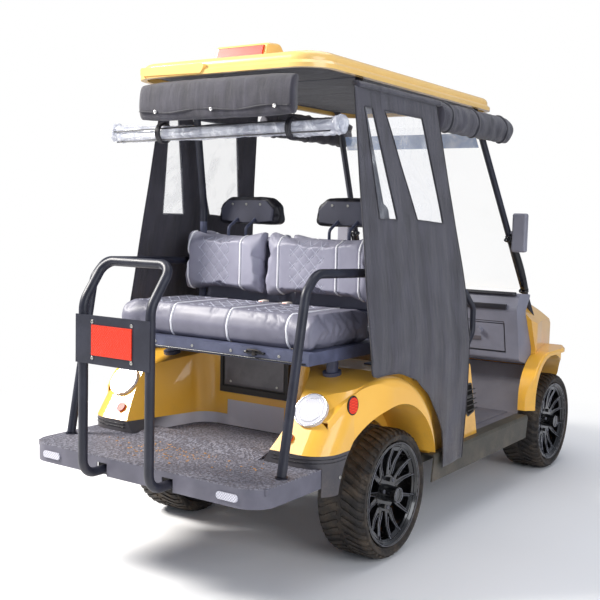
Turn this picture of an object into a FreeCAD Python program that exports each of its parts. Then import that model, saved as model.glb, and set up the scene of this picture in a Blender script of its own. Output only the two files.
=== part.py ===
import FreeCAD
import Part
import math
import os

# Four-seat golf cart with two seats facing forward and a flip seat facing back.
# Millimetres. +X forward, +Y left, +Z up. Modelled from the rear axle at ground
# level and moved at the end so that the origin is under the middle of the length.

V = FreeCAD.Vector
AXIS_X = V(1, 0, 0)
AXIS_Y = V(0, 1, 0)
AXIS_Z = V(0, 0, 1)

# Driving dimensions: running gear
wheelbase = 1683.0
tyre_radius = 243.0
tyre_width = 205.0
wheel_centre_y = 456.5
rim_radius = 178.0
rim_lip_radius = 195.0
rim_width = 190.0
rim_wall = 6.0
rim_flange = 12.0
hub_bore_radius = 14.0
hub_disc_radius = 68.0
hub_cap_radius = 29.0
spoke_pairs = 7
spoke_slot_round = 9.0
lug_circle_radius = 50.8
lug_radius = 8.5
lug_height = 11.0
tyre_facets = 60
spindle_clearance = 0.05
kingpin_y = 372.0
kingpin_radius = 11.0
steering_arm_y = kingpin_y
steering_arm_length = 105.0
axle_tube_radius = 30.0

# Driving dimensions: overall extents measured from the rear axle
hoop_x = -893.0
bumper_front_x = wheelbase + 412.0
roof_bottom_z = 1765.0
roof_height = 58.0

# Driving dimensions: frame and floor
rail_y = 180.0
rail_width = 50.0
rail_height = 62.0
floor_top_z = 342.0
floor_thickness = 12.0
floor_rear_x = 275.0
floor_front_x = wheelbase - 398.0
fender_inner_y = wheel_centre_y + tyre_width / 2 - 37.0
floor_half_width = fender_inner_y - 10.0
rear_rail_top_z = 418.0
front_rail_top_z = 356.0
frame_rear_x = -770.0

# Driving dimensions: body
wall = 5.0
flare_cover = 37.0
flare_half_width = wheel_centre_y + tyre_width / 2 + flare_cover
body_half_width = flare_half_width - 44.0
flare_round = 42.0
lobe_rear_x = -500.0
lobe_crest_x = -362.0
lobe_crest_z = 664.0
lobe_crown_x = -120.0
lobe_corner = 100.0
lobe_crest_round = 45.0
recess_x = -140.0
recess_half_width = 262.0
recess_low_y = 213.0
recess_high_y = 616.0
recess_cove = 90.0
body_front_x = 285.0
body_step_x = 112.0
body_step_z = 656.0
arch_x = -75.0
arch_z = 268.0
rear_arch_radius = 330.0
rear_flare_x = -130.0
rear_flare_z = 300.0
rear_flare_radius = 405.0
wheel_room = 19.0
body_top_z = 716.0
body_bottom_z = 362.0
lobe_bottom_z = 474.0
lower_panel_bottom_z = 334.0
lower_panel_step_z = 534.0
lower_panel_step_y = 138.0
lower_panel_split_y = 399.0
seam = 0.3

# Driving dimensions: front fenders
front_well_radius = 345.0
front_well_inner_y = 214.0
fender_arch_rear_x = wheelbase - 377.0
fender_arch_front_x = wheelbase + 347.0
fender_arch_top_z = 608.0
fender_arch_rear_round = 195.0
fender_arch_front_round = 300.0
fender_top_z = 628.0
fender_lip = 44.0
cowl_half_width = fender_inner_y + 23.0
shoulder_y = cowl_half_width
shoulder_z = 752.0
shoulder_rise = 190.0
shoulder_width = 150.0
hood_fall = 0.30

# Driving dimensions: platform
tail_lamp_radius = 62.0
tail_lamp_y = 440.0
tail_lamp_z = 605.0
platform_rear_x = -807.0
platform_front_x = -436.0
platform_top_z = 430.0
platform_skirt = 66.0
platform_half_width = 524.0
platform_tongue_y = 296.0
curb_height = 15.0
curb_rear_x = -510.0
curb_front_x = -372.0

# Driving dimensions: seats
seat_base_rear_x = 290.0
seat_base_top_x = 655.0
seat_base_foot_x = 752.0
seat_base_top_z = 660.0
seat_base_half_width = body_half_width - 12.0
front_hinge_x = 262.0
front_cushion_depth = 430.0
front_cushion_height = 132.0
front_cushion_half_width = 468.0
rear_hinge_x = -446.0
rear_cushion_depth = 416.0
rear_cushion_height = 118.0
rear_cushion_half_width = 458.0
tray_top_z = 808.0
rear_hinge_z = tray_top_z + seam
tray_height = 44.0
seat_back_post_y = 430.0
seat_back_post_x = 42.0
seat_back_post_top_z = 1232.0
frame_tube_radius = 15.0
frame_cross_radius = 13.0
rear_back_thickness = 92.0
front_back_thickness = 92.0
seat_back_bottom_z = 838.0
rear_back_bottom_z = 938.0
seat_back_top_z = 1208.0
seat_back_half_width = 492.0
rear_back_half_width = 469.0

# Driving dimensions: rails and hoop
rail_tube_radius = 16.0
grab_rail_y = 486.0
hoop_leg_y = 150.0
hoop_plate_half_width = 166.0
hoop_plate_bottom_z = 768.0
hoop_plate_top_z = 928.0
hoop_plate_thickness = 4.0
hoop_hole_spacing_y = 176.0
hoop_hole_spacing_z = 118.0
hoop_hole_radius = 3.2
hoop_reflector_y = 90.0
hoop_reflector_z = 62.0
hoop_reflector_thickness = 3.0

# Driving dimensions: roof and its supports
roof_rear_x = -400.0
roof_front_x = wheelbase - 563.0
roof_rear_half_width = 424.0
roof_front_half_width = 395.0
roof_wall = 6.0
gutter_width = 12.0
gutter_height = 26.0
hump_x = -285.0
hump_half_width = 124.0
pillar_top_x = wheelbase - 718.0
pillar_top_y = 360.0
pillar_foot_x = wheelbase - 171.5
pillar_foot_y = cowl_half_width - 64.0
pillar_foot_z = 780.0
windshield_start = 167.0
windshield_end = 110.0
mirror_share = 0.425
strut_top_x = -90.0
strut_top_y = 380.0
roof_tube_radius = 15.0

# Driving dimensions: dash and steering
dash_half_width = fender_inner_y - 2.0
dash_top_z = 925.0
cabin_half_width = dash_half_width - 14.0
cowl_rear_edge = [(wheelbase - 265.0, 640.0), (wheelbase - 321.0, 745.0), (wheelbase - 365.0, 832.0)]
steering_wheel_y = 250.0
steering_wheel_x = wheelbase - 668.0
steering_wheel_z = 985.0
steering_wheel_radius = 170.0
steering_rim_radius = 13.0
steering_lean = 38.0
glovebox_half_width = 125.0
glovebox_y = -330.0
glovebox_bottom_z = 632.0
glovebox_height = 150.0
glovebox_depth = 90.0
glovebox_gap = 5.5
glovebox_lid_thickness = 10.0
glovebox_pin_radius = 3.5

# Driving dimensions: soft pieces
curtain_thickness = 4.0
curtain_top_y = 446.0
curtain_top_z = 1721.7
curtain_knee_y = 582.0
curtain_knee_z = 716.0
curtain_foot_z = 285.0
roll_x = -352.0
roll_z = 1568.0
roll_radius = 34.0

parts = {}


def keep(name, shape):
    parts[name] = shape


def box(x0, x1, y0, y1, z0, z1):
    return Part.makeBox(x1 - x0, y1 - y0, z1 - z0, V(x0, y0, z0))


def polygon(points):
    return Part.makePolygon(points + [points[0]])


def rounded(points, radii, closed=True):
    """A wire through the points with each corner turned by an arc."""
    count = len(points)
    starts = []
    ends = []
    arcs = []
    for i in range(count):
        if not closed and i in (0, count - 1):
            starts.append(points[i])
            ends.append(points[i])
            arcs.append(None)
            continue
        radius = radii[i] if isinstance(radii, (list, tuple)) else radii
        before = (points[i - 1] - points[i]).normalize()
        after = (points[(i + 1) % count] - points[i]).normalize()
        half = before.getAngle(after) / 2
        if radius <= 0 or abs(half - math.pi / 2) < 1e-6:
            starts.append(points[i])
            ends.append(points[i])
            arcs.append(None)
            continue
        back = radius / math.tan(half)
        start = points[i] + before * back
        end = points[i] + after * back
        centre = points[i] + (before + after).normalize() * (radius / math.sin(half))
        middle = centre + (points[i] - centre).normalize() * radius
        starts.append(start)
        ends.append(end)
        arcs.append(Part.Arc(start, middle, end).toShape())
    edges = []
    for i in range(count):
        if arcs[i] is not None:
            edges.append(arcs[i])
        if not closed and i == count - 1:
            break
        following = starts[(i + 1) % count]
        if ends[i].distanceToPoint(following) > 1e-4:
            edges.append(Part.LineSegment(ends[i], following).toShape())
    return Part.Wire(edges)


def slab_y(points, y0, y1, radii=0):
    """Side outline, as (x, z) pairs, given a width across the cart."""
    wire = rounded([V(x, y0, z) for x, z in points], radii)
    return Part.Face(wire).extrude(V(0, y1 - y0, 0))


def slab_z(points, z0, z1, radii=0):
    """Plan outline, as (x, y) pairs, given a height."""
    wire = rounded([V(x, y, z0) for x, y in points], radii)
    return Part.Face(wire).extrude(V(0, 0, z1 - z0))


def slab_x(points, x0, x1, radii=0):
    """Cross outline, as (y, z) pairs, given a length along the cart."""
    wire = rounded([V(x0, y, z) for y, z in points], radii)
    return Part.Face(wire).extrude(V(x1 - x0, 0, 0))


def tube(points, radius, bend):
    """A round bar or tube along a bent path."""
    path = rounded(points, bend, closed=False)
    start = path.OrderedEdges[0]
    direction = start.tangentAt(start.FirstParameter)
    section = Part.Wire(Part.makeCircle(radius, points[0], direction))
    sweep = Part.BRepOffsetAPI.MakePipeShell(path)
    sweep.add(section)
    sweep.setTransitionMode(1)
    sweep.build()
    sweep.makeSolid()
    return sweep.shape()


def rod(start, end, radius):
    return Part.makeCylinder(radius, (end - start).Length, start, end - start)


def across(x, z, radius, y0, y1):
    """A cylinder across the cart."""
    return Part.makeCylinder(radius, y1 - y0, V(x, y0, z), AXIS_Y)


def ahead(x):
    """A place along the cart given from the front axle, so that it follows the wheelbase."""
    return wheelbase + x


def mirrored(shape):
    return shape.mirror(V(0, 0, 0), AXIS_Y)


def both(shape):
    return Part.makeCompound([shape, mirrored(shape)])


def fused(first, *others):
    result = first
    for other in others:
        result = result.fuse(other)
    return result.removeSplitter()


def symmetric(points):
    """Plan outline from its left half, front to back, mirrored to the right."""
    return points + [(x, -y) for x, y in reversed(points)]


def spun_y(points, y_shift=0.0):
    """Solid of revolution about the wheel's axis from (radius, y) pairs."""
    wire = polygon([V(r, y + y_shift, 0) for r, y in points])
    return Part.Face(wire).revolve(V(0, 0, 0), AXIS_Y, 360)


# Wheels

rim_face_y = rim_width / 2 - 26


def tyre():
    """Ring of flat facets, so that four tyres stay light."""
    half = tyre_width / 2
    bead = rim_radius + 2 * seam
    shoulder = 26.0
    flange = rim_width / 2 - rim_flange
    side = [
        (bead, -flange + seam),
        (rim_lip_radius + 2 * seam, -flange + seam),
        (rim_lip_radius + 10, -half),
        (tyre_radius - shoulder, -half),
        (tyre_radius - 6, -half + 15),
        (tyre_radius, -half + 30),
    ]
    outline = side + [(r, -y) for r, y in reversed(side)]
    sections = []
    for i in range(tyre_facets):
        turn = 2 * math.pi * i / tyre_facets
        sections.append([V(r * math.cos(turn), y, r * math.sin(turn)) for r, y in outline])
    faces = []
    for i in range(tyre_facets):
        here = sections[i]
        there = sections[(i + 1) % tyre_facets]
        for j in range(len(outline)):
            k = (j + 1) % len(outline)
            faces.append(Part.Face(polygon([here[j], here[k], there[k], there[j]])))
    return Part.Solid(Part.Shell(faces))


def spoke_pair(face_y):
    """Two spokes that part from the hub and meet again in a bow under the lip."""
    reach = rim_radius + 6
    root = hub_disc_radius - 8
    bound = Part.makeCylinder(rim_radius - rim_wall / 2, rim_width, V(0, 0, 0), AXIS_Y)
    plan = rounded([V(root, 0, -17), V(reach, 0, -41), V(reach, 0, 41), V(root, 0, 17)], 0)
    slot = rounded([V(84, 0, -4), V(160, 0, -27), V(160, 0, 27), V(84, 0, 4)],
                   [3, spoke_slot_round, spoke_slot_round, 3])
    pair = Part.Face(plan).extrude(V(0, 200, 0)).cut(Part.Face(slot).extrude(V(0, 200, 0)))
    outer = [(root, face_y - 12), (120, face_y - 8), (158, face_y + 4), (reach, face_y + 16)]
    inner = [(reach, face_y - 16), (120, face_y - 30), (root, face_y - 36)]
    side = rounded([V(r, y, -60) for r, y in outer + inner], [0, 60, 40, 0, 0, 60, 0])
    return pair.common(Part.Face(side).extrude(V(0, 0, 120))).common(bound)


def rim():
    half = rim_width / 2
    flat = half - rim_flange
    barrel = [
        (rim_radius, -flat),
        (rim_lip_radius, -flat),
        (rim_lip_radius, -half + 4),
        (rim_lip_radius - rim_wall, -half + 4),
        (rim_radius - rim_wall, -flat + 8),
        (rim_radius - rim_wall, flat - 8),
        (rim_lip_radius - rim_wall, half - 4),
        (rim_lip_radius, half - 4),
        (rim_lip_radius, flat),
        (rim_radius, flat),
    ]
    # the spoked face sits near the outer side, dished towards the hub
    hub = spun_y([
        (hub_bore_radius, rim_face_y - 40),
        (hub_disc_radius, rim_face_y - 40),
        (hub_disc_radius, rim_face_y - 10),
        (hub_cap_radius + 3, rim_face_y - 10),
        (hub_cap_radius, rim_face_y + 34),
        (hub_bore_radius, rim_face_y + 34),
    ])
    cap = Part.makeCylinder(hub_cap_radius, 6, V(0, rim_face_y + 34, 0), AXIS_Y)
    pieces = [hub, cap]
    for i in range(4):
        nut = Part.makeCylinder(lug_radius, lug_height, V(lug_circle_radius, rim_face_y - 12, 0), AXIS_Y)
        nut.rotate(V(0, 0, 0), AXIS_Y, 90.0 * i + 20)
        pieces.append(nut)
    for i in range(spoke_pairs):
        pair = spoke_pair(rim_face_y)
        pair.rotate(V(0, 0, 0), AXIS_Y, 360.0 / spoke_pairs * (i + 0.5))
        pieces.append(pair)
    return fused(spun_y(barrel), *pieces)


def place_wheel(shape, x, side):
    placed = shape.copy()
    if side < 0:
        placed = mirrored(placed)
    placed.translate(V(x, side * wheel_centre_y, tyre_radius))
    return placed


def build_wheels():
    tyre_shape = tyre()
    rim_shape = rim()
    for end, x in (("rear", 0.0), ("front", wheelbase)):
        for hand, side in (("left", 1), ("right", -1)):
            keep("tyre_%s_%s" % (end, hand), place_wheel(tyre_shape, x, side))
            keep("rim_%s_%s" % (end, hand), place_wheel(rim_shape, x, side))


spindle_radius = hub_bore_radius - spindle_clearance
spindle_tip_y = wheel_centre_y + rim_face_y + 30


def build_rear_axle():
    drum = Part.makeCylinder(88, 52, V(0, wheel_centre_y + rim_face_y - 40 - 60, tyre_radius), AXIS_Y)
    spindle = across(0, tyre_radius, spindle_radius, 300, spindle_tip_y)
    casing = across(0, tyre_radius, axle_tube_radius, -340, 340)
    gear_case = across(0, tyre_radius, 92, -55, 15)
    reduction = across(95, tyre_radius + 8, 62, -55, 15)
    motor = across(95, tyre_radius + 8, 78, 15, spring_inner_y - 8)
    shape = fused(casing, gear_case, reduction, motor, drum, mirrored(drum), spindle, mirrored(spindle))
    keep("rear_axle", shape)


# Springs lie on the axles and hang from the frame by their eyes.

spring_y = 225.0
spring_half_length = 245.0
spring_camber = 48.0
spring_leaf = 8.0
spring_width = 36.0
spring_seat_z = tyre_radius + axle_tube_radius


def leaf_spring(centre_x):
    leaves = []
    for i in range(3):
        reach = spring_half_length * (1 - 0.24 * i)
        low = spring_seat_z + spring_leaf * (2 - i)
        rise = spring_camber * (reach / spring_half_length) ** 2
        lower = Part.Arc(V(centre_x - reach, 0, low + rise), V(centre_x, 0, low),
                         V(centre_x + reach, 0, low + rise))
        upper = Part.Arc(V(centre_x + reach, 0, low + rise + spring_leaf), V(centre_x, 0, low + spring_leaf),
                         V(centre_x - reach, 0, low + rise + spring_leaf))
        right = Part.LineSegment(lower.EndPoint, upper.StartPoint)
        left = Part.LineSegment(upper.EndPoint, lower.StartPoint)
        wire = Part.Wire([lower.toShape(), right.toShape(), upper.toShape(), left.toShape()])
        leaf = Part.Face(wire).extrude(V(0, spring_width, 0))
        leaves.append(leaf)
    eye_z = spring_seat_z + 2 * spring_leaf + spring_camber + spring_leaf / 2
    eyes = [across(centre_x + s * spring_half_length, eye_z, 14, 0, spring_width) for s in (-1, 1)]
    shape = fused(leaves[0], leaves[1], leaves[2], *eyes)
    shape.translate(V(0, spring_y - spring_width / 2, 0))
    return shape


def build_springs():
    rear = leaf_spring(0.0)
    front = leaf_spring(wheelbase)
    keep("leaf_springs", Part.makeCompound([rear, mirrored(rear), front, mirrored(front)]))


# Frame: two rails with cross members, kicked up over both axles.

spring_eye_z = spring_seat_z + 2 * spring_leaf + spring_camber + spring_leaf / 2
spring_inner_y = spring_y - spring_width / 2


def build_frame():
    low_top = floor_top_z - floor_thickness
    rear_top = rear_rail_top_z
    front_top = front_rail_top_z
    top = [
        (frame_rear_x, rear_top),
        (150, rear_top),
        (250, low_top),
        (ahead(-393), low_top),
        (ahead(-313), front_top),
        (bumper_front_x - 8 - seam, front_top),
    ]
    bottom = [(x, z - rail_height) for x, z in top]
    outline = top + list(reversed(bottom))
    rail = slab_y(outline, rail_y - rail_width / 2, rail_y + rail_width / 2)
    members = [rail, mirrored(rail)]
    inner = rail_y - rail_width / 2
    for x, z in ((frame_rear_x, rear_top), (-300, rear_top), (270, low_top), (720, low_top),
                 (ahead(-443), low_top),
                 (ahead(-253), front_top), (ahead(267), front_top)):
        members.append(box(x, x + 50, -inner - 1, inner + 1, z - 56, z - 6))
    # hangers that carry the spring eyes, on the outside of the rails
    outer = rail_y + rail_width / 2
    for centre, top_z in ((0.0, rear_top), (wheelbase, front_top)):
        for end in (-1, 1):
            x = centre + end * spring_half_length
            pin = across(x, spring_eye_z, 7, outer - 20, spring_inner_y + spring_width + 8)
            ear = box(x - 22, x + 22, rail_y, spring_inner_y - 1, spring_eye_z - 20, spring_eye_z + 20)
            members += [pin, ear, mirrored(pin), mirrored(ear)]
    shape = fused(members[0], *members[1:])
    keep("frame_rails", shape)


# The whole of the spring eye turns on the hanger's pin, so it is bored to clear it.

def bore_springs():
    pins = []
    for centre in (0.0, wheelbase):
        for end in (-1, 1):
            x = centre + end * spring_half_length
            pins.append(across(x, spring_eye_z, 7 + 0.05, -400, 400))
    parts["leaf_springs"] = parts["leaf_springs"].cut(pins)


def build_front_axle():
    beam = across(wheelbase, tyre_radius, axle_tube_radius, -kingpin_y + 20, kingpin_y - 20)
    boss = Part.makeCylinder(21, 76, V(wheelbase, kingpin_y, tyre_radius - 38))
    bore = Part.makeCylinder(kingpin_radius + spindle_clearance, 90,
                             V(wheelbase, kingpin_y, tyre_radius - 45))
    shape = fused(beam, boss, mirrored(boss))
    shape = shape.cut([bore, mirrored(bore)])
    keep("front_axle_beam", shape)


def knuckle():
    z = tyre_radius
    pin = Part.makeCylinder(kingpin_radius, 104, V(wheelbase, kingpin_y, z - 52))
    upper = Part.makeCylinder(21, 12, V(wheelbase, kingpin_y, z + 40))
    lower = Part.makeCylinder(21, 12, V(wheelbase, kingpin_y, z - 52))
    bridge = box(wheelbase - 18, wheelbase + 18, kingpin_y + 24, kingpin_y + 40, z - 52, z + 52)
    top_bar = box(wheelbase - 18, wheelbase + 18, kingpin_y, kingpin_y + 26, z + 40, z + 52)
    low_bar = box(wheelbase - 18, wheelbase + 18, kingpin_y, kingpin_y + 26, z - 52, z - 40)
    spindle = across(wheelbase, z, spindle_radius, kingpin_y + 38, spindle_tip_y)
    arm = slab_z([(wheelbase - 10, kingpin_y - 6), (wheelbase + 12, kingpin_y - 6),
                  (wheelbase + 12, kingpin_y + 12),
                  (wheelbase - steering_arm_length, steering_arm_y + 14),
                  (wheelbase - steering_arm_length - 14, steering_arm_y),
                  (wheelbase - steering_arm_length, steering_arm_y - 14)], z - 60, z - 52)
    ball = Part.makeCylinder(5, 30, V(wheelbase - steering_arm_length, steering_arm_y, z - 86))
    return fused(pin, upper, lower, bridge, top_bar, low_bar, spindle, arm, ball)


def build_steering_gear():
    left = knuckle()
    keep("knuckle_left", left)
    keep("knuckle_right", mirrored(left))
    x = wheelbase - steering_arm_length
    z = tyre_radius - 74
    bar = across(x, z, 8, -steering_arm_y, steering_arm_y)
    ends = [Part.makeCylinder(14, 20, V(x, s * steering_arm_y, z - 10)) for s in (-1, 1)]
    shape = fused(bar, *ends)
    holes = [Part.makeCylinder(5.05, 60, V(x, s * steering_arm_y, z - 30)) for s in (-1, 1)]
    keep("tie_rod", shape.cut(holes))


# Floor, sills and battery

def build_floor():
    z1 = floor_top_z
    z0 = z1 - floor_thickness
    pan = box(floor_rear_x, floor_front_x, -floor_half_width, floor_half_width, z0, z1)
    toe = slab_y([(floor_front_x, z0), (ahead(-271), 486), (ahead(-271), 560), (ahead(-283), 560),
                  (ahead(-283), 492),
                  (floor_front_x - 6, z1)], -floor_half_width, floor_half_width)
    mat = box(seat_base_foot_x + 12, floor_front_x - 20, -470, 470, z1, z1 + 6)
    keep("floor_pan", fused(pan, toe, mat))
    keep("battery_block", box(300, 640, -330, 330, z1, z1 + 255))


def build_rockers():
    outer = 574.0
    section = [(floor_half_width + 2, floor_top_z), (outer - 6, floor_top_z), (outer, floor_top_z - 12),
               (outer - 8, 231),
               (outer - 14, 231), (outer - 6, floor_top_z - 14), (outer - 10, floor_top_z - 6),
               (floor_half_width + 2, floor_top_z - 6)]
    rear_x = floor_rear_x + 1
    front_x = floor_front_x - 13
    rocker = slab_x(section, rear_x, front_x)
    lip = box(rear_x, front_x, floor_half_width + 0.3, floor_half_width + 8, floor_top_z - 40, floor_top_z)
    keep("rockers", both(fused(rocker, lip)))


# Rear body: two lobes round the wheels and a recess between them for the feet.

def wheel_well(grow):
    """Room for a rear wheel: the wide arch outside, and a closer one beside the recess."""
    arch = across(arch_x, arch_z, rear_arch_radius + grow, lower_panel_split_y + 1 - grow, 800)
    inner_y = wheel_centre_y - tyre_width / 2 - 9
    close = across(0, tyre_radius, tyre_radius + wheel_room + grow, inner_y - grow, lower_panel_split_y + 12)
    well = arch.fuse(close)
    return well.fuse(mirrored(well))


def flare_pod(x, z, radius, y0, y1, round_radius, low_z):
    pod = across(x, z, radius, y0, y1)
    edge = [e for e in pod.Edges if abs(e.CenterOfMass.y - y1) < 1 and e.Closed]
    pod = pod.makeFillet(round_radius, [e for e in edge if e.Curve.TypeId.endswith("Circle")])
    return pod.common(box(x - 900, x + 900, y0 - 1, y1 + 1, low_z, low_z + 900))


def recess(grow):
    """The foot recess between the lobes: its sides lean outwards and open towards the rear."""
    plans = []
    for z, rear_y in [(290, recess_low_y), (780, recess_high_y)]:
        points = [V(-620, -rear_y - grow, z), V(recess_x + grow, -recess_half_width - grow, z),
                  V(recess_x + grow, recess_half_width + grow, z), V(-620, rear_y + grow, z)]
        plans.append(rounded(points, [0, recess_cove, recess_cove, 0]))
    return Part.makeLoft(plans, True, True)


lobe_lean = (lobe_crest_x - lobe_rear_x) / (lobe_crest_z - lobe_bottom_z)
lobe_normal = V(-1, 0, lobe_lean).normalize()
crown_normal = V(lobe_crest_z - body_top_z, 0, lobe_crown_x - lobe_crest_x).normalize()


def on_lobe(y, z):
    """A place on the leaning rear face of a lobe."""
    return V(lobe_rear_x + lobe_lean * (z - lobe_bottom_z), y, z)


def rear_form(inset, z0, z1):
    """The outer skin of the rear body, or its inner skin when inset by the wall."""
    half = body_half_width - inset
    corner = lobe_corner - inset
    back = inset / -lobe_normal.x
    rear_x = lobe_rear_x - lobe_lean * (lobe_bottom_z - z0) + back
    outline = [V(900, half, z0), V(rear_x - 1, half, z0), V(rear_x - 1, -half, z0), V(900, -half, z0)]
    block = Part.Face(rounded(outline, [0, corner, corner, 0])).extrude(V(lobe_lean * (z1 - z0), 0, z1 - z0))
    side = slab_y([(rear_x, z0), (lobe_crest_x + back, lobe_crest_z - inset),
                   (lobe_crown_x, body_top_z - inset),
                   (body_step_x - 20 - inset, body_top_z - inset), (body_step_x - inset, body_step_z - inset),
                   (body_front_x - inset, body_step_z - inset), (body_front_x - inset, z0)],
                  -700, 700, [0, lobe_crest_round, 0, 0, 0, 0, 0])
    return block.common(side).cut(recess(inset))


def bumper_form(inset, z0, z1):
    """The grey panel under the lobes stands upright."""
    half = body_half_width - inset
    corner = lobe_corner - inset
    outline = [(recess_x + 60, half), (lobe_rear_x + inset, half), (lobe_rear_x + inset, -half),
               (recess_x + 60, -half)]
    return slab_z(outline, z0, z1, [0, corner, corner, 0]).cut(recess(inset))


def rear_flare(inset):
    """The flare round one wheel, fading into the lobe's side towards the rear."""
    outer_y = flare_half_width - inset
    pod = flare_pod(rear_flare_x, rear_flare_z, rear_flare_radius - inset, 440, outer_y, flare_round - inset,
                    body_bottom_z - 4 * inset)
    plan = slab_z([(-420, 400), (-420, 520 - inset), (-352, 540 - inset), (-150, outer_y), (500, outer_y),
                   (500, 400)],
                  200, 900, [0, 0, 100, 300, 0, 0])
    seat_side = box(body_front_x - inset, 900, 0, seat_base_half_width + seam + inset, 0, 900)
    return pod.common(plan).cut(seat_side)


def build_rear_body():
    split_y = lower_panel_split_y
    step_y = lower_panel_step_y
    low_cut = box(-600, -8, -700, 700, 300, lobe_bottom_z)
    centre_cut = box(-600, body_front_x - 90, -split_y, split_y, 300, lobe_bottom_z)
    step_cut = box(-600, body_front_x - 90, -step_y, step_y, 300, lower_panel_step_z)
    flare = rear_flare(0)
    outer = fused(rear_form(0, body_bottom_z, body_top_z), flare, mirrored(flare))
    flare_in = rear_flare(wall)
    inner = rear_form(wall, body_bottom_z - 20, body_top_z - wall)
    inner = inner.fuse([flare_in, mirrored(flare_in)])
    inner = inner.cut(wheel_well(wall))
    shell = outer.cut(inner)
    shell = shell.cut([wheel_well(0), low_cut, centre_cut, step_cut])
    shell = shell.common(box(-900, 900, -900, 900, body_bottom_z, 900))
    keep("rear_body", sorted(shell.Solids, key=lambda piece: piece.Volume)[-1])
    # grey lower panel: corners under the lobes and the wall behind the feet
    z0 = lower_panel_bottom_z
    z1 = lobe_bottom_z - seam
    platform_room = box(-900, platform_front_x + 1, 0, platform_half_width + 2, 0, platform_top_z + 1)
    ring = bumper_form(1, z0, z1).cut(bumper_form(1 + wall, z0 - 1, z1 + 1))
    corner = ring.common(box(-600, -200, split_y, 700, z0, z1)).cut([wheel_well(0), platform_room])
    low_zone = box(-600, recess_x + 40, -split_y + seam, split_y - seam, platform_top_z + 1, z1)
    low = ring.common(low_zone)
    back = bumper_form(1, z1 - 20, lower_panel_step_z - seam).cut(bumper_form(1 + wall, z1 - 21, 640))
    step = back.common(box(recess_x - 40, recess_x + 40, -step_y + seam, step_y - seam, z1 - 20, 640))
    centre = fused(low, step).cut(wheel_well(0))
    keep("rear_lower_panel", Part.makeCompound(corner.Solids + mirrored(corner).Solids + centre.Solids))


def build_seat_base():
    y = seat_base_half_width
    z0 = floor_top_z
    z1 = seat_base_top_z
    side = [(seat_base_rear_x, z0), (seat_base_foot_x, z0), (seat_base_top_x, z1), (seat_base_rear_x, z1)]
    outer = slab_y(side, -y, y, [0, 0, 18, 0])
    inside = [(seat_base_rear_x + wall, z0 - 1), (seat_base_foot_x - wall, z0 - 1),
              (seat_base_top_x - wall - 2, z1 - wall),
              (seat_base_rear_x + wall, z1 - wall)]
    inner = slab_y(inside, -y + wall, y - wall)
    hatch = box(seat_base_rear_x + 35, seat_base_top_x - 45, -y + 80, y - 80, z1 - 20, z1 + 20)
    shape = outer.cut([inner, hatch])
    pocket = vent_outline(0)
    shape = shape.cut([pocket, mirrored(pocket)])
    keep("seat_base", shape)


vent_points = [(598, 578), (672, 575), (715, 446), (650, 430), (612, 462)]


def vent_outline(shrink):
    centre_x = sum(p[0] for p in vent_points) / len(vent_points)
    centre_z = sum(p[1] for p in vent_points) / len(vent_points)
    points = []
    for x, z in vent_points:
        dx = x - centre_x
        dz = z - centre_z
        length = math.hypot(dx, dz)
        points.append((x - dx / length * shrink, z - dz / length * shrink))
    y = seat_base_half_width
    return slab_y(points, y - 60, y + 10, 10)


def build_vents():
    y = seat_base_half_width
    outer = vent_outline(seam).common(box(0, 900, y - 40, y + 3, 0, 900))
    inner = vent_outline(8).common(box(0, 900, y - 34, y + 20, 0, 900))
    shell = outer.cut(inner)
    shelf = vent_outline(4).common(box(0, 900, y - 38, y, 508, 516))
    keep("seat_base_vents", both(fused(shell, shelf)))


# Seats and the tube frame between them

def build_seat_frame():
    r = frame_tube_radius
    x = seat_back_post_x
    y = seat_back_post_y
    foot_z = body_top_z
    posts = [rod(V(x, s * y, foot_z), V(x, s * y, seat_back_post_top_z), r) for s in (-1, 1)]
    cross = [across(x, z, frame_cross_radius, -y, y) for z in (tray_top_z - tray_height / 2, 905, 1150)]
    feet = [box(x - 40, x + 40, s * y - 30, s * y + 30, foot_z, foot_z + 5) for s in (-1, 1)]
    # tray under the rear cushion: an edge angle on three sides and two bearers
    z1 = tray_top_z
    z0 = z1 - tray_height
    half = rear_cushion_half_width - 6
    rear = rear_hinge_x - 4
    tray = box(rear, x - 3, -half, half, z0, z1).cut(box(rear + 4, x + 60, -half + 4, half - 4, z0 - 1,
                                                         z1 - 4))
    tray = tray.cut(box(rear + 60, x - 60, -half + 60, half - 60, z0, z1 + 1))
    leg_x = -195.0
    slope = (body_top_z - lobe_crest_z) / (lobe_crown_x - lobe_crest_x)
    crown = V(leg_x, 385, body_top_z - (lobe_crown_x - leg_x) * slope)
    flange = [Part.makeCylinder(34, 12, V(leg_x, s * crown.y, crown.z), crown_normal) for s in (-1, 1)]
    legs = [Part.makeCylinder(22, z1 - 10 - crown.z, V(leg_x, s * crown.y, crown.z + 6)) for s in (-1, 1)]
    stalks = []
    for s in (-1, 1):
        for dy in (-45, 45):
            base = V(x, s * 249 + dy, 1150)
            stalks.append(tube([base, V(x, s * 249 + dy, 1212), V(126, s * 249 + dy, 1262)], 6, 22))
    shape = fused(posts[0], posts[1], *(cross + feet + [tray] + flange + legs + stalks))
    keep("seat_frame", shape)


def pad(points, half_width, corner, edge):
    """A cushion: a side outline across the cart with its long edges rounded."""
    shape = slab_y(points, -half_width, half_width, corner)
    ends = [f for f in shape.Faces if abs(f.normalAt(0, 0).y) > 0.99]
    edges = []
    for face in ends:
        edges += face.Edges
    return shape.makeFillet(edge, edges)


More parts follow.
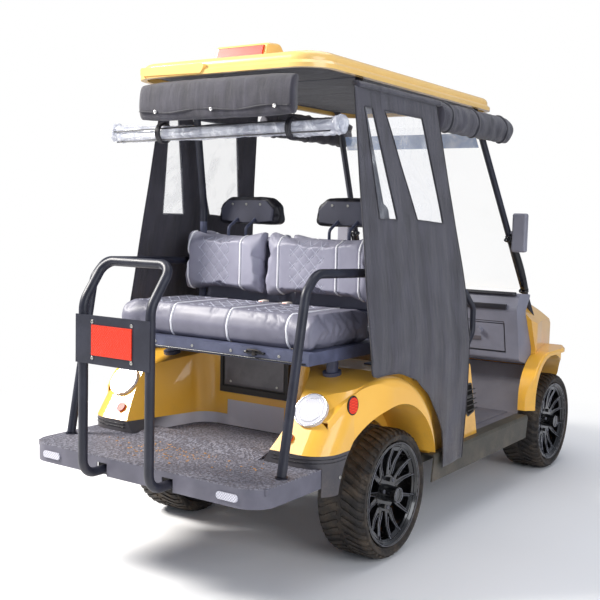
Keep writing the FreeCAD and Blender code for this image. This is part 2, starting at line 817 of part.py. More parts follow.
def build_front_seat():
    x0 = front_hinge_x
    z0 = seat_base_top_z + seam
    x1 = x0 + front_cushion_depth
    z1 = z0 + front_cushion_height
    side = [(x0 + 12, z0), (x1, z0), (x1 + 10, z0 + 50), (x1 - 6, z1), (x0, z1 - 14)]
    keep("front_seat_cushion", pad(side, front_cushion_half_width, [0, 12, 30, 34, 20], 14))
    back_x = seat_back_post_x + frame_tube_radius + 2 + seam
    lean = 40.0
    low = seat_back_bottom_z
    top = seat_back_top_z
    side = [(back_x, low), (back_x + front_back_thickness, low),
            (back_x + front_back_thickness + 6, low + 90),
            (back_x + front_back_thickness - lean, top), (back_x - 2, top)]
    keep("front_seat_back", pad(side, seat_back_half_width - 24, [16, 24, 40, 28, 12], 14))


def build_rear_seat():
    x0 = rear_hinge_x + 6
    z0 = rear_hinge_z
    x1 = x0 + rear_cushion_depth
    z1 = z0 + rear_cushion_height
    side = [(x0, z0), (x1, z0), (x1, z1 - 6), (x0 + 8, z1 - 4), (x0 - 10, z0 + 55)]
    keep("rear_seat_cushion", pad(side, rear_cushion_half_width, [0, 10, 20, 46, 34], 14))
    x = seat_back_post_x - frame_tube_radius - seam
    low = rear_back_bottom_z
    top = seat_back_top_z
    side = [(x, low), (x, top), (x - rear_back_thickness + 30, top + 4),
            (x - rear_back_thickness + 8, low + 60),
            (x - rear_back_thickness + 26, low)]
    keep("rear_seat_back", pad(side, rear_back_half_width, [10, 10, 44, 60, 24], 16))


def build_headrests():
    y = 249.0
    half = 167.0
    shape = slab_x([(y - half, 1222), (y + half, 1222), (y + half - 16, 1310), (y + half - 60, 1344),
                    (y - half + 60, 1344), (y - half + 16, 1310)], 104, 176, [26, 26, 40, 30, 30, 40])
    edges = []
    for face in shape.Faces:
        if abs(face.normalAt(0, 0).x) > 0.99:
            edges += face.Edges
    shape = shape.makeFillet(16, edges)
    for stalk_y in (y - 45, y + 45):
        stalk = [V(seat_back_post_x, stalk_y, 1150), V(seat_back_post_x, stalk_y, 1212),
                 V(126, stalk_y, 1262)]
        shape = shape.cut(tube(stalk, 6 + seam, 22))
    keep("headrests", both(shape))


def build_restraints():
    y = 507.0
    z = seat_base_top_z + 5
    path = [V(400, y, z), V(400, y, 905), V(480, y, 985), V(640, y, 968), V(735, y, 890), V(738, y, 780),
            V(610, y, z)]
    bar = tube(path, 12.5, [0, 60, 60, 60, 45, 60, 0])
    feet = [box(360, 440, y - 20, y + 20, seat_base_top_z, z + 1),
            box(570, 640, y - 20, y + 20, seat_base_top_z, z + 1)]
    bar = fused(bar, *feet)
    bar = bar.common(box(0, 1200, 0, 700, seat_base_top_z, 1300))
    keep("hip_restraints", both(bar))


# Platform, grab rails and hoop

def build_platform():
    half = platform_half_width
    tongue = platform_tongue_y

    def plan(inset, z0, z1):
        points = symmetric([
            (recess_x - 4 - inset, tongue - inset),
            (platform_front_x - inset, tongue - inset),
            (platform_front_x - inset, half - inset),
            (platform_rear_x + inset, half - inset),
        ])
        radii = [0, 0, 26 - inset, 88 - inset, 88 - inset, 26 - inset, 0, 0]
        return slab_z(points, z0, z1, radii)

    z1 = platform_top_z
    z0 = z1 - platform_skirt
    shape = plan(0, z0, z1).cut(plan(4, z0 - 1, z1 - 5))
    notches = [box(platform_rear_x - 1, platform_rear_x + 30, s * hoop_leg_y - 24, s * hoop_leg_y + 24,
                   z0 - 1, z0 + 44)
               for s in (-1, 1)]
    rail_gap = [box(recess_x - 60, recess_x + 60, s * rail_y - 34, s * rail_y + 34, z0 - 1,
                    rear_rail_top_z + 3)
                for s in (-1, 1)]
    bearers = [box(-765, -745, -half + 4, half - 4, z1 - 24, z1 - 4),
               box(-520, -500, -half + 4, half - 4, z1 - 24, z1 - 4)]
    curb = slab_y([(curb_rear_x, z1 - 2), (curb_rear_x, z1), (curb_rear_x + 60, z1 + curb_height),
                   (curb_front_x - 8, z1 + curb_height), (curb_front_x, z1 - 2)],
                  -platform_tongue_y + 6, platform_tongue_y - 6, [0, 0, 30, 8, 0])
    shape = fused(shape, curb, *bearers)
    rail_slots = [box(-800, recess_x + 20, s * rail_y - rail_width / 2 - 1, s * rail_y + rail_width / 2 + 1,
                      z0 - 1, rear_rail_top_z + 0.2) for s in (-1, 1)]
    cross_slot = box(-772, -718, -rail_y, rail_y, z0 - 1, rear_rail_top_z - 5)
    shape = shape.cut(notches + rail_gap + rail_slots + [cross_slot])
    keep("platform", shape)


def grab_rail_path():
    y = grab_rail_y
    return [V(-640, y, platform_top_z + 5), V(-528, y, 1018), V(-468, y, 1078), V(-20, y, 1066)]


def build_grab_rails():
    rail = tube(grab_rail_path(), rail_tube_radius, [0, 55, 75, 0])
    foot = Part.makeCylinder(rail_tube_radius + 5, 5, V(-640, grab_rail_y, platform_top_z))
    tab = box(-60, seat_back_post_x + 12, grab_rail_y - 4, grab_rail_y + 4, 1050, 1082)
    plate = box(seat_back_post_x - 12, seat_back_post_x + 12, seat_back_post_y + frame_tube_radius,
                grab_rail_y, 1058, 1074)
    rail = fused(rail, foot)
    rail = rail.common(box(-900, 0, 0, 700, platform_top_z, 1300))
    rail = fused(rail, tab, plate)
    keep("grab_rails", both(rail))


def build_hoop():
    y = hoop_leg_y
    x = hoop_x
    foot_z = 384.0
    in_x = frame_rear_x - seam
    path = [V(in_x, y, foot_z), V(x, y, foot_z), V(x, y, 968), V(x + 96, y, 1100), V(x + 96, -y, 1100),
            V(x, -y, 968),
            V(x, -y, foot_z), V(in_x, -y, foot_z)]
    bar = tube(path, rail_tube_radius, [0, 52, 90, 48, 48, 90, 52, 0])
    back = x - rail_tube_radius - hoop_plate_thickness
    plate = box(back, back + hoop_plate_thickness + 1.5, -hoop_plate_half_width, hoop_plate_half_width,
                hoop_plate_bottom_z, hoop_plate_top_z)
    middle_z = (hoop_plate_bottom_z + hoop_plate_top_z) / 2
    holes = []
    for sy in (-1, 1):
        for sz in (-1, 1):
            at = V(back - 5, sy * hoop_hole_spacing_y / 2, middle_z + sz * hoop_hole_spacing_z / 2)
            holes.append(Part.makeCylinder(hoop_hole_radius, 20, at, AXIS_X))
    plate = plate.cut(holes)
    keep("hoop", fused(bar, plate))
    red = box(back - hoop_reflector_thickness, back, -hoop_reflector_y, hoop_reflector_y,
              middle_z - hoop_reflector_z + 12, middle_z + hoop_reflector_z - 12)
    return red


# Roof and its frame

def roof_form(inset, z0, z1):
    rear = roof_rear_half_width - inset
    front = roof_front_half_width - inset
    outline = [(roof_front_x - inset, -front), (roof_front_x - inset, front), (roof_rear_x + inset, rear),
               (roof_rear_x + inset, -rear)]
    corner = 106.0 - inset
    return slab_z(outline, z0, z1, [90 - inset, 90 - inset, corner, corner])


def level_edges(shape, z):
    return [e for e in shape.Edges if abs(e.CenterOfMass.z - z) < 0.5 and e.BoundBox.ZLength < 0.5]


def build_roof():
    z0 = roof_bottom_z
    z1 = z0 + roof_height
    outer = roof_form(0, z0, z1)
    outer = outer.makeFillet(26, level_edges(outer, z1))
    gutter = roof_form(-gutter_width, z0, z0 + gutter_height)
    gutter = gutter.makeChamfer(gutter_width - 1, level_edges(gutter, z0 + gutter_height))
    crown = roof_form(70, z1 - 2, z1 + 10)
    crown = crown.makeFillet(8, level_edges(crown, z1 + 10))
    inner = roof_form(roof_wall + 6, z0 - 1, z1 - roof_wall - 8)
    hump = slab_y([(hump_x, z1 - 4), (hump_x + 20, z1 + 62), (hump_x + 90, z1 + 68), (hump_x + 160, z1 - 4)],
                  -hump_half_width, hump_half_width, [0, 12, 30, 0])
    ends = [f for f in hump.Faces if abs(f.normalAt(0, 0).y) > 0.99]
    hump_edges = []
    for face in ends:
        hump_edges += [e for e in face.Edges if e.CenterOfMass.z > z1]
    hump = hump.makeFillet(11, hump_edges)
    # a raised grip along the left half of the rear edge
    grip = slab_x([(roof_rear_half_width - 60, z0 + 8), (70, z0 + 4), (48, z0 + 38),
                   (roof_rear_half_width - 60, z0 + 38)],
                  roof_rear_x - gutter_width - 5, roof_rear_x + 10, [8, 10, 10, 8])
    shape = fused(outer, gutter, crown, hump, grip)
    keep("roof", shape.cut(inner))


def build_roof_frame():
    r = roof_tube_radius
    z = roof_bottom_z + roof_height - roof_wall - 8 - r - 1
    rail_z = z
    members = []
    for s in (-1, 1):
        foot = V(pillar_foot_x, s * pillar_foot_y, pillar_foot_z)
        top = V(pillar_top_x, s * pillar_top_y, rail_z)
        rear = V(strut_top_x, s * strut_top_y, rail_z)
        strut = V(seat_back_post_x, s * seat_back_post_y, seat_back_post_top_z + 60)
        end = V(seat_back_post_x, s * seat_back_post_y, seat_back_post_top_z)
        members.append(tube([foot, top, rear, strut, end], r, [0, 60, 60, 60, 0]))
        pad_box = box(strut_top_x + 100, strut_top_x + 160, s * strut_top_y - 15, s * strut_top_y + 15,
                      rail_z, rail_z + r + 1)
        members.append(pad_box)
    members.append(across(pillar_top_x - 80, rail_z, r, -pillar_top_y + 2, pillar_top_y - 2))
    members.append(across(strut_top_x + 80, rail_z, r, -strut_top_y + 2, strut_top_y - 2))
    members.append(across(pillar_foot_x, pillar_foot_z, 9, -pillar_foot_y, pillar_foot_y))
    keep("roof_frame", fused(members[0], *members[1:]))


def build_windshield():
    foot = V(pillar_foot_x, 0, pillar_foot_z)
    top = V(pillar_top_x, 0, roof_bottom_z + roof_height - roof_wall - 8 - roof_tube_radius - 1)
    along = (top - foot).normalize()
    normal = V(along.z, 0, -along.x)
    start = foot + along * windshield_start
    end = top - along * windshield_end
    low = pillar_foot_y - 32.3
    high = pillar_top_y - 19.3
    points = [start + V(0, low, 0), end + V(0, high, 0), end + V(0, -high, 0), start + V(0, -low, 0)]
    pane = Part.Face(rounded(points, 30)).extrude(normal * 5)
    keep("windshield", pane)


# Front cowl with its fenders

roof_rail_z = roof_bottom_z + roof_height - roof_wall - 8 - roof_tube_radius - 1
pillar_top = V(pillar_top_x, pillar_top_y, roof_rail_z)


def fender_outline(grow, top_z):
    """Side outline of a front fender: upright behind the wheel and round in front of it."""
    return rounded([
        V(fender_arch_rear_x - grow, 0, 100),
        V(fender_arch_rear_x - grow, 0, top_z),
        V(fender_arch_front_x + grow, 0, top_z),
        V(fender_arch_front_x + grow, 0, 100),
    ], [0, fender_arch_rear_round + grow / 2, fender_arch_front_round, 0])


def front_well(grow):
    """A round well inside the cabin's width and the wider fender opening outside it."""
    well = across(wheelbase, tyre_radius, front_well_radius + grow, front_well_inner_y - grow, 800)
    face = Part.Face(fender_outline(grow, fender_arch_top_z + grow))
    opening = face.extrude(V(0, 800 - fender_inner_y + grow, 0)).translated(V(0, fender_inner_y - grow, 0))
    well = well.fuse(opening)
    return well.fuse(mirrored(well))


def fender_pod(inset):
    """The fender beside the cowl, widest over the wheel and drawn in towards the nose."""
    y0 = fender_inner_y + 1 + inset
    face = Part.Face(fender_outline(fender_lip - inset, fender_top_z - inset))
    pod = face.extrude(V(0, 400, 0)).translated(V(0, y0, 0))
    plan = slab_z([(ahead(-483), 200), (ahead(-443), cowl_half_width - 4 - inset),
                   (ahead(-383), flare_half_width - inset),
                   (ahead(7), flare_half_width + 3 - inset), (ahead(277), 470 - inset), (ahead(367),
                                                                                         380 - inset),
                   (ahead(367), 200)],
                  body_bottom_z - 4 * inset, 900, [0, 0, 40, 160, 80, 0, 0])
    # towards the nose the fender reaches in to meet the cowl
    nose = Part.Face(fender_outline(fender_lip - inset, fender_top_z - inset)).extrude(V(0, 400, 0))
    nose = nose.translated(V(0, 300, 0)).common(box(ahead(-183), ahead(517), 0, 800, 0, 900))
    return pod.fuse(nose).common(plan).removeSplitter()


def cowl_core(inset):
    side = [
        (ahead(-383) + inset, body_bottom_z),
        (ahead(-281) + inset, 505),
        (cowl_rear_edge[0][0] + inset, cowl_rear_edge[0][1]),
        (cowl_rear_edge[1][0] + inset, cowl_rear_edge[1][1]),
        (cowl_rear_edge[2][0] + inset, cowl_rear_edge[2][1] - inset),
        (ahead(-291), 918 - inset),
        (ahead(-183), 902 - inset),
        (ahead(107), 805 - inset),
        (ahead(297) - inset, 700 - inset),
        (ahead(379) - inset, 560),
        (ahead(389) - inset, body_bottom_z),
    ]
    core = slab_y(side, -600, 600, [0, 60, 60, 40, 20, 20, 60, 120, 90, 60, 0])
    plan = symmetric([
        (ahead(-393), cowl_half_width - inset),
        (ahead(-243), cowl_half_width - 5 - inset),
        (ahead(-43), 488 - inset),
        (ahead(277), 420 - inset),
        (ahead(393) - inset, 300 - inset),
    ])
    radii = [0, 160, 160, 90, 60, 60, 90, 160, 160, 0]
    core = core.common(slab_z(list(reversed(plan)), 300, 1000, list(reversed(radii))))
    # rounded shoulders that fall with the hood
    y = shoulder_y + 40 - inset
    z = shoulder_z - inset
    top_y = shoulder_y - shoulder_width - inset
    cross = [V(ahead(-483), -y, 200), V(ahead(-483), -y, z - 40), V(ahead(-483), -shoulder_y + inset, z + 20),
             V(ahead(-483), -top_y, z + shoulder_rise), V(ahead(-483), top_y, z + shoulder_rise),
             V(ahead(-483), shoulder_y - inset, z + 20), V(ahead(-483), y, z - 40), V(ahead(-483), y, 200)]
    face = Part.Face(rounded(cross, [0, 0, 70, 120, 120, 70, 0, 0]))
    return core.common(face.extrude(V(900, 0, -900 * hood_fall)).translated(V(0, 0, 60)))


def build_cowl():
    pod = fender_pod(0)
    high = [e for e in pod.Edges if abs(e.CenterOfMass.z - fender_top_z) < 1]
    top = [e for e in high if e.CenterOfMass.y > fender_inner_y + 20]
    pod = pod.makeFillet(9, top)
    outer = fused(cowl_core(0), pod, mirrored(pod))
    pod_in = fender_pod(wall)
    inner = fused(cowl_core(wall), pod_in, mirrored(pod_in))
    open_below = box(ahead(-483), ahead(517), -800, 800, 300, body_bottom_z + 40)
    inner = inner.fuse(inner.translated(V(0, 0, -30)).common(open_below))
    inner = inner.cut(front_well(wall))
    shell = outer.cut(inner)
    cabin = slab_y([(ahead(-483), 300), (ahead(-377), 356), (ahead(-271), 500), (ahead(-255), 640),
                    (ahead(-311), 750), (ahead(-353), 835), (ahead(-283), 912), (ahead(-203), 930),
                    (ahead(-483), 1000)], -cabin_half_width, cabin_half_width)
    toe_half = floor_half_width + 1
    toe_room = slab_y([(ahead(-483), 300), (ahead(-377), 356), (ahead(-270), 485), (ahead(-270), 561),
                       (ahead(-483), 561)], -toe_half, toe_half)
    shell = shell.cut([front_well(0), cabin, toe_room])
    sockets = [Part.makeCylinder(68, 400, V(ahead(147), s * 300, 600), AXIS_X) for s in (-1, 1)]
    pillar = rod(V(pillar_foot_x, pillar_foot_y, pillar_foot_z), pillar_top, roof_tube_radius + 0.5)
    shell = shell.cut(sockets + [pillar, mirrored(pillar)])
    keep("front_cowl", sorted(shell.Solids, key=lambda piece: piece.Volume)[-1])
    lamp = Part.makeCylinder(68 - seam, 190, V(ahead(167), 300, 600), AXIS_X)
    edge = [e for e in lamp.Edges if e.Closed and abs(e.CenterOfMass.x - ahead(357)) < 1]
    lamp = lamp.makeFillet(18, edge)
    keep("headlamps", both(lamp))


def build_bumper():
    z0 = 262.0
    z1 = 352.0
    outer = slab_z([(ahead(337), 400), (bumper_front_x - 40, 400), (bumper_front_x, 260),
                    (bumper_front_x, -260),
                    (bumper_front_x - 40, -400), (ahead(337), -400)], z0, z1, [0, 30, 80, 80, 30, 0])
    inner = slab_z([(ahead(317), 392), (bumper_front_x - 48, 392), (bumper_front_x - 8, 256),
                    (bumper_front_x - 8, -256),
                    (bumper_front_x - 48, -392), (ahead(317), -392)], z0 - 1, z1 + 1, [0, 24, 74, 74, 24, 0])
    keep("front_bumper", outer.cut(inner))


# Dash, column and pedals

def build_dash():
    half = dash_half_width
    rear = [(x - 2 * seam, z) for x, z in cowl_rear_edge]
    side = [(ahead(-287), 566), (ahead(-421), 600), (ahead(-478), 850), (ahead(-451), dash_top_z),
            (ahead(-307), dash_top_z - 12), rear[2], rear[1], rear[0]]
    body = slab_y(side, -half, half, [0, 20, 30, 30, 8, 20, 40, 60])
    console = slab_y([(ahead(-383), 600), (ahead(-468), 640), (ahead(-535), 800), (ahead(-533), 872),
                      (ahead(-423), 880)], -170, 36, [0, 20, 30, 12, 0])
    body = fused(body, console)
    cups = [Part.makeCylinder(37, 70, V(ahead(-487), y, 812)) for y in (-114, -20)]
    y0 = glovebox_y - glovebox_half_width
    y1 = glovebox_y + glovebox_half_width
    pocket = slab_y(glovebox_points(-40, glovebox_depth), y0, y1)
    pin_at = glovebox_hinge()
    bore = across(pin_at.x, pin_at.z, glovebox_pin_radius + spindle_clearance, y0 - 12, y1 + 12)
    keep("dashboard", body.cut(cups + [pocket, bore]))
    low = glovebox_gap + glovebox_lid_thickness / 2
    lid = slab_y(glovebox_points(0, glovebox_lid_thickness, low, glovebox_gap), y0 + glovebox_gap,
                 y1 - glovebox_gap)
    knuckle_bar = across(pin_at.x, pin_at.z, glovebox_lid_thickness / 2, y0 + glovebox_gap, y1 - glovebox_gap)
    pin = across(pin_at.x, pin_at.z, glovebox_pin_radius, y0 - 10, y1 + 10)
    knob_at = glovebox_face(0.72) + V(0, glovebox_y, 0)
    knob = Part.makeCylinder(13, 24, knob_at, glovebox_out())
    keep("glovebox_lid", fused(lid, knuckle_bar, pin, knob))


# the dash face leans back, from (1262, 600) up to (1205, 850)
face_low = V(ahead(-421), 0, 600)
face_high = V(ahead(-478), 0, 850)


def glovebox_out():
    along = (face_high - face_low).normalize()
    return V(-along.z, 0, along.x)


def glovebox_face(share):
    along = (face_high - face_low).normalize()
    start = (glovebox_bottom_z - face_low.z) / along.z
    return face_low + along * (start + glovebox_height * share)


def glovebox_hinge():
    along = (face_high - face_low).normalize()
    half = glovebox_lid_thickness / 2
    return glovebox_face(0) + along * (glovebox_gap + half) - glovebox_out() * half


def glovebox_points(front, back, low_gap=0.0, high_gap=0.0):
    """Side outline of a slice of the glovebox, from front to back of the dash face."""
    inward = glovebox_out() * -1
    along = (face_high - face_low).normalize()
    low = glovebox_face(0) + along * low_gap
    high = glovebox_face(1) - along * high_gap
    corners = [low + inward * front, low + inward * back, high + inward * back, high + inward * front]
    return [(c.x, c.z) for c in corners]


def steering_axis():
    lean = math.radians(steering_lean)
    return V(-math.cos(lean), 0, math.sin(lean))


def build_steering_wheel():
    centre = V(steering_wheel_x, steering_wheel_y, steering_wheel_z)
    axis = steering_axis()
    ring = Part.makeTorus(steering_wheel_radius, steering_rim_radius, centre, axis)
    hub = Part.makeCylinder(46, 26, centre - axis * 38, axis)
    down = V(-axis.z, 0, axis.x) * -1
    members = [hub]
    for turn in (90, 180, 270):
        direction = FreeCAD.Rotation(axis, turn).multVec(down)
        members.append(rod(centre - axis * 26, centre + direction * (steering_wheel_radius - 2), 9))
    keep("steering_wheel", fused(ring, *members))
    top = centre - axis * (38 + seam)
    end = centre - axis * 270
    column = rod(end, top, 24)
    shroud = Part.makeCone(52, 34, 110, centre - axis * 250, axis)
    column = fused(column, shroud)
    inside_dash = slab_y([(ahead(-421), 600), (ahead(-478), 850), (ahead(-451), dash_top_z),
                          (ahead(-303), dash_top_z), (ahead(-288), 566)], -600, 600)
    column = column.cut(inside_dash)
    biggest = sorted(column.Solids, key=lambda s: s.Volume)[-1]
    pedal = []
    for y, width in ((330, 60), (200, 76)):
        plate = slab_y([(ahead(-468), 470), (ahead(-460), 476), (ahead(-421), 402), (ahead(-429), 398)],
                       y - width / 2, y + width / 2)
        arm = tube([V(ahead(-444), y, 438), V(ahead(-383), y, 470), V(ahead(-353), y, 530),
                    V(ahead(-353), y, 620)],
                   8, [0, 30, 20, 0])
        pedal.append(fused(plate, arm))
    return biggest, pedal


def build_controls():
    column, pedal = build_steering_wheel()
    toe_line = slab_y([(ahead(-283), 300), (ahead(-183), 300), (ahead(-183), 600), (ahead(-283), 600)], -600,
                      600)
    pedals_cut = [p.cut([parts["dashboard"], toe_line]) for p in pedal]
    solids = [sorted(p.Solids, key=lambda s: s.Volume)[-1] for p in pedals_cut]
    keep("driver_controls", Part.makeCompound([column] + solids))


def build_mirrors():
    # one mirror stands out from each windshield pillar
    foot = V(pillar_foot_x, pillar_foot_y, pillar_foot_z)
    at = foot + (pillar_top - foot) * mirror_share
    housing = box(at.x - 24, at.x + 16, at.y + 26, at.y + 96, at.z - 92, at.z + 93)
    housing = housing.makeFillet(11, housing.Edges)
    stay = rod(at + V(0, roof_tube_radius - 4, 0), V(at.x, at.y + 40, at.z), 8)
    keep("side_mirrors", both(fused(housing, stay).cut(parts["roof_frame"])))


# Lamps and plate

def build_lamps():
    lens = []
    for s in (-1, 1):
        place = on_lobe(s * tail_lamp_y, tail_lamp_z) + lobe_normal * 10
        lens.append(Part.makeCylinder(tail_lamp_radius, 15, place, lobe_normal * -1))
    oval = []
    for s in (-1, 1):
        plate = slab_x([(s * 400 - 42, 382), (s * 400 + 42, 382), (s * 400 + 42, 406), (s * 400 - 42, 406)],
                       platform_rear_x - 5, platform_rear_x, 11)
        oval.append(plate)
    return lens, oval


def build_rear_lights(red):
    lens, oval = build_lamps()
    seated = [piece.cut(parts["rear_body"]) for piece in lens]
    seated = [sorted(piece.Solids, key=lambda s: s.Volume)[-1] for piece in seated]
    keep("tail_lamps", Part.makeCompound(seated + oval))
    small = [Part.makeCylinder(18, 12, on_lobe(s * 392, 515) + lobe_normal * 8,
                               lobe_normal * -1) for s in (-1, 1)]
    marker = slab_y([(-19, -28), (19, -28), (19, 28), (-19, 28)], -4, 8, 18)
    marker.rotate(V(0, 0, 0), V(0, 0, 1), 17)
    marker.translate(V(-320, body_half_width - 4, 627))
    side = [marker, mirrored(marker)]
    small = [sorted(p.cut(parts["rear_body"]).Solids, key=lambda q: q.Volume)[-1] for p in small + side]
    z1 = roof_bottom_z + roof_height
    lens = slab_y([(hump_x - 2, z1 + 14), (hump_x + 11, z1 + 54), (hump_x + 30, z1 + 54),
                   (hump_x + 15, z1 + 14)],
                  -hump_half_width + 20, hump_half_width - 20, [2, 4, 4, 2])
    lens = lens.cut(parts["roof"])
    lens = sorted(lens.Solids, key=lambda q: q.Volume)[-1]
    keep("red_lenses", Part.makeCompound(small + [red, lens]))


def build_plate():
    x = recess_x - 0.3
    z0 = 566.0
    frame = box(x - 16, x, -165, 165, z0, z0 + 176)
    frame = frame.cut(box(x - 20, x - 8, -152, 152, z0 + 24, z0 + 166))
    blank = box(x - 12, x - 7, -150, 150, z0 + 26, z0 + 164)
    keep("number_plate", fused(frame, blank))


# Soft pieces

def curtain_slab():
    t = curtain_thickness
    section = [(curtain_top_y, curtain_top_z), (curtain_knee_y, curtain_knee_z + 60),
               (curtain_knee_y, curtain_foot_z),
               (curtain_knee_y + t, curtain_foot_z), (curtain_knee_y + t,
                                                      curtain_knee_z + 60), (curtain_top_y + t,
                                                                             curtain_top_z)]
    return slab_x(section, -320, 700)


def build_curtains():
    z0 = curtain_foot_z
    outline = [(-205, curtain_top_z), (-262, 735), (-235, 716), (-160, 716), (-60, 712), (70, 672),
               (185, 600), (262, 512), (300, 440), (318, 350),
             (318, z0), (520, z0), (548, 960), (430, curtain_top_z)]
    slab = curtain_slab()
    panes = [
        [(-150, 1655), (-95, 1655), (10, 1262), (-120, 1262)],
        [(-5, 1655), (290, 1655), (392, 1250), (175, 1262)],
    ]
    sheets = []
    clear = []
    for side in (1, -1):
        sheet = slab.common(slab_y(outline, 0, 800, 12))
        holes = [slab_y(p, 0, 800, 14) for p in panes]
        thin = slab.common(box(-400, 800, 0, 800, 200, 1800))
        glass = [thin.common(hole) for hole in holes]
        sheet = sheet.cut(holes)
        if side < 0:
            sheet = mirrored(sheet)
            glass = [mirrored(g) for g in glass]
        sheets.append(sheet)
        clear += glass
    keep("side_curtains", Part.makeCompound(sheets))
    keep("curtain_panes", Part.makeCompound(clear))


def build_rolls():
    z1 = roof_bottom_z - seam
    rear_flap = slab_y([(-430, z1), (-388, z1), (-388, 1612), (-418, 1600), (-446, 1622)], -352, 345,
                       [8, 4, 12, 12, 18])
    straps = []
    for y in (-300, 300):
        band = across(roll_x, roll_z, roll_radius + seam + 2, y - 12, y + 12)
        hanger = box(roll_x - 1, roll_x + 1, y - 12, y + 12, roll_z,
                     roof_bottom_z + roof_height - roof_wall - 8 - seam)
        straps.append(fused(band, hanger).cut(across(roll_x, roll_z, roll_radius + seam, -700, 700)))
    side = slab_x([(404, z1), (436, z1), (470, 1700), (462, 1636), (432, 1626), (412, 1650)], 470, 1200,
                  [4, 6, 16, 12, 12, 8])
    long_side = slab_x([(426, z1), (450, z1), (456, 1722), (430, 1722)], -180, 470, [4, 6, 6, 4])
    rolls = [rear_flap, side, mirrored(side), long_side, mirrored(long_side)]
    keep("edge_rolls", Part.makeCompound(rolls + straps))
    roll = across(roll_x, roll_z, roll_radius, -500, 560)
    edge = [e for e in roll.Edges if e.Closed and e.Curve.TypeId.endswith("Circle")]
    keep("rear_window_roll", roll.makeFillet(14, edge))


build_wheels()
build_rear_axle()
build_springs()
build_frame()
bore_springs()
build_front_axle()
build_steering_gear()
build_floor()
build_rockers()
build_rear_body()
build_seat_base()
build_vents()
build_seat_frame()
build_front_seat()
build_rear_seat()
build_headrests()
build_restraints()
build_platform()
build_grab_rails()
red_panel = build_hoop()
build_roof()
build_roof_frame()
build_windshield()
build_cowl()
build_bumper()
build_dash()
build_controls()
build_mirrors()
build_rear_lights(red_panel)
build_plate()
build_curtains()
build_rolls()

# Move the origin under the middle of the length and write the parts.

rear_tip_x = hoop_x - rail_tube_radius - hoop_plate_thickness - hoop_reflector_thickness
middle = (rear_tip_x + bumper_front_x) / 2

os.makedirs("parts", exist_ok=True)
for name, shape in parts.items():
    placed = shape.copy()
    placed.translate(V(-middle, 0, 0))
    placed.exportStep("parts/%s.step" % name)
    solids = len(placed.Solids)
    print("%-22s solids %d valid %s volume %.0f cm3" % (name, solids, placed.isValid(), placed.Volume / 1000))
print("middle of the length is at", round(middle, 3), "from the rear axle")
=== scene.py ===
# %% [markdown]
# A four-seat golf cart, seen from behind and from its right side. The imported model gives
# every piece that is rigid: body panels, frame, roof, wheels and rails. This script gives
# them their finishes, and makes what is soft or fine: cushions, curtains, rolls, tread,
# screws and trim. The frame is in metres, +X forward, +Y to the cart's left, +Z up, and
# places passed to at() are in millimetres.

# %% Load the frame
import bpy
import bmesh
import math
import random
from mathutils import Matrix, Vector, noise
from mathutils.bvhtree import BVHTree


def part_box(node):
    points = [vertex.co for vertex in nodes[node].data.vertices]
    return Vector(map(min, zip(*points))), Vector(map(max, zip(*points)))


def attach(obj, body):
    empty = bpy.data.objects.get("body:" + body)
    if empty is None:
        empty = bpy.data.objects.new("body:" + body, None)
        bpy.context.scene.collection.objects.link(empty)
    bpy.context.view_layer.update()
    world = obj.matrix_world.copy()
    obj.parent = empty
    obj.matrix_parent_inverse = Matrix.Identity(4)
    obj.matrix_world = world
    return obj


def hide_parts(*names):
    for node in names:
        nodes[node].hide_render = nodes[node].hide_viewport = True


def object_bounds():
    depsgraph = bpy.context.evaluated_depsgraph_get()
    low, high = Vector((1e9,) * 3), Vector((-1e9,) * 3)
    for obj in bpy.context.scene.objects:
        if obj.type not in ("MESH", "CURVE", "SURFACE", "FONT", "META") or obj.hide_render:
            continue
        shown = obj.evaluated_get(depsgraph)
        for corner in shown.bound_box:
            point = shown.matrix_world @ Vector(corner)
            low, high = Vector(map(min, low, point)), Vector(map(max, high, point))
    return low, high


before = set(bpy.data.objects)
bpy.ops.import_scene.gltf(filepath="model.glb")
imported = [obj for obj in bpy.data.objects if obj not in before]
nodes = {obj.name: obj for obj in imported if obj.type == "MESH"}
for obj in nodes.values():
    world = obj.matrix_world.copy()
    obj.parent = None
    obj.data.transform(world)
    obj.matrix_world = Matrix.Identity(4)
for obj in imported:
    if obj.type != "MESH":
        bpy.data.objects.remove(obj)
cad_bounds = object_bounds()
MM = 0.001
low, high = cad_bounds
print("cart", [round(high[i] - low[i], 3) for i in range(3)], "nodes", len(nodes))

# %% [markdown]
# The hand-made pieces are placed from a few lines of the cart itself. The rear axle is
# found as the middle of a rear wheel, so that every other place can be given from it.

# %% Lines that the pieces are placed from
wheel_low, wheel_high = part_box("tyre_rear_left")
front_low, front_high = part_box("tyre_front_left")
REAR_X = (wheel_low[0] + wheel_high[0]) / 2
FRONT_X = (front_low[0] + front_high[0]) / 2
TYRE_R = (wheel_high[2] - wheel_low[2]) / 2
TYRE_W = wheel_high[1] - wheel_low[1]
WHEEL_Y = (wheel_low[1] + wheel_high[1]) / 2
print("wheelbase", round(FRONT_X - REAR_X, 3), "tyre", round(TYRE_R, 4), round(TYRE_W, 4))


def at(x, y, z):
    """A place given in millimetres from the rear axle at ground level."""
    return Vector((REAR_X + x * MM, y * MM, z * MM))


# %% [markdown]
# The camera stands behind the cart, to its right, a little above the seats, with a mild
# telephoto lens. Its place and angles were worked out from the wheels, roof and platform.

# %% Camera
CAMERA_X, CAMERA_Y, CAMERA_Z = -3079.6, -2207.9, 1267.3
CAMERA_YAW, CAMERA_PITCH, CAMERA_ROLL = 34.35, -5.05, 1.43
CAMERA_LENS = 57.32


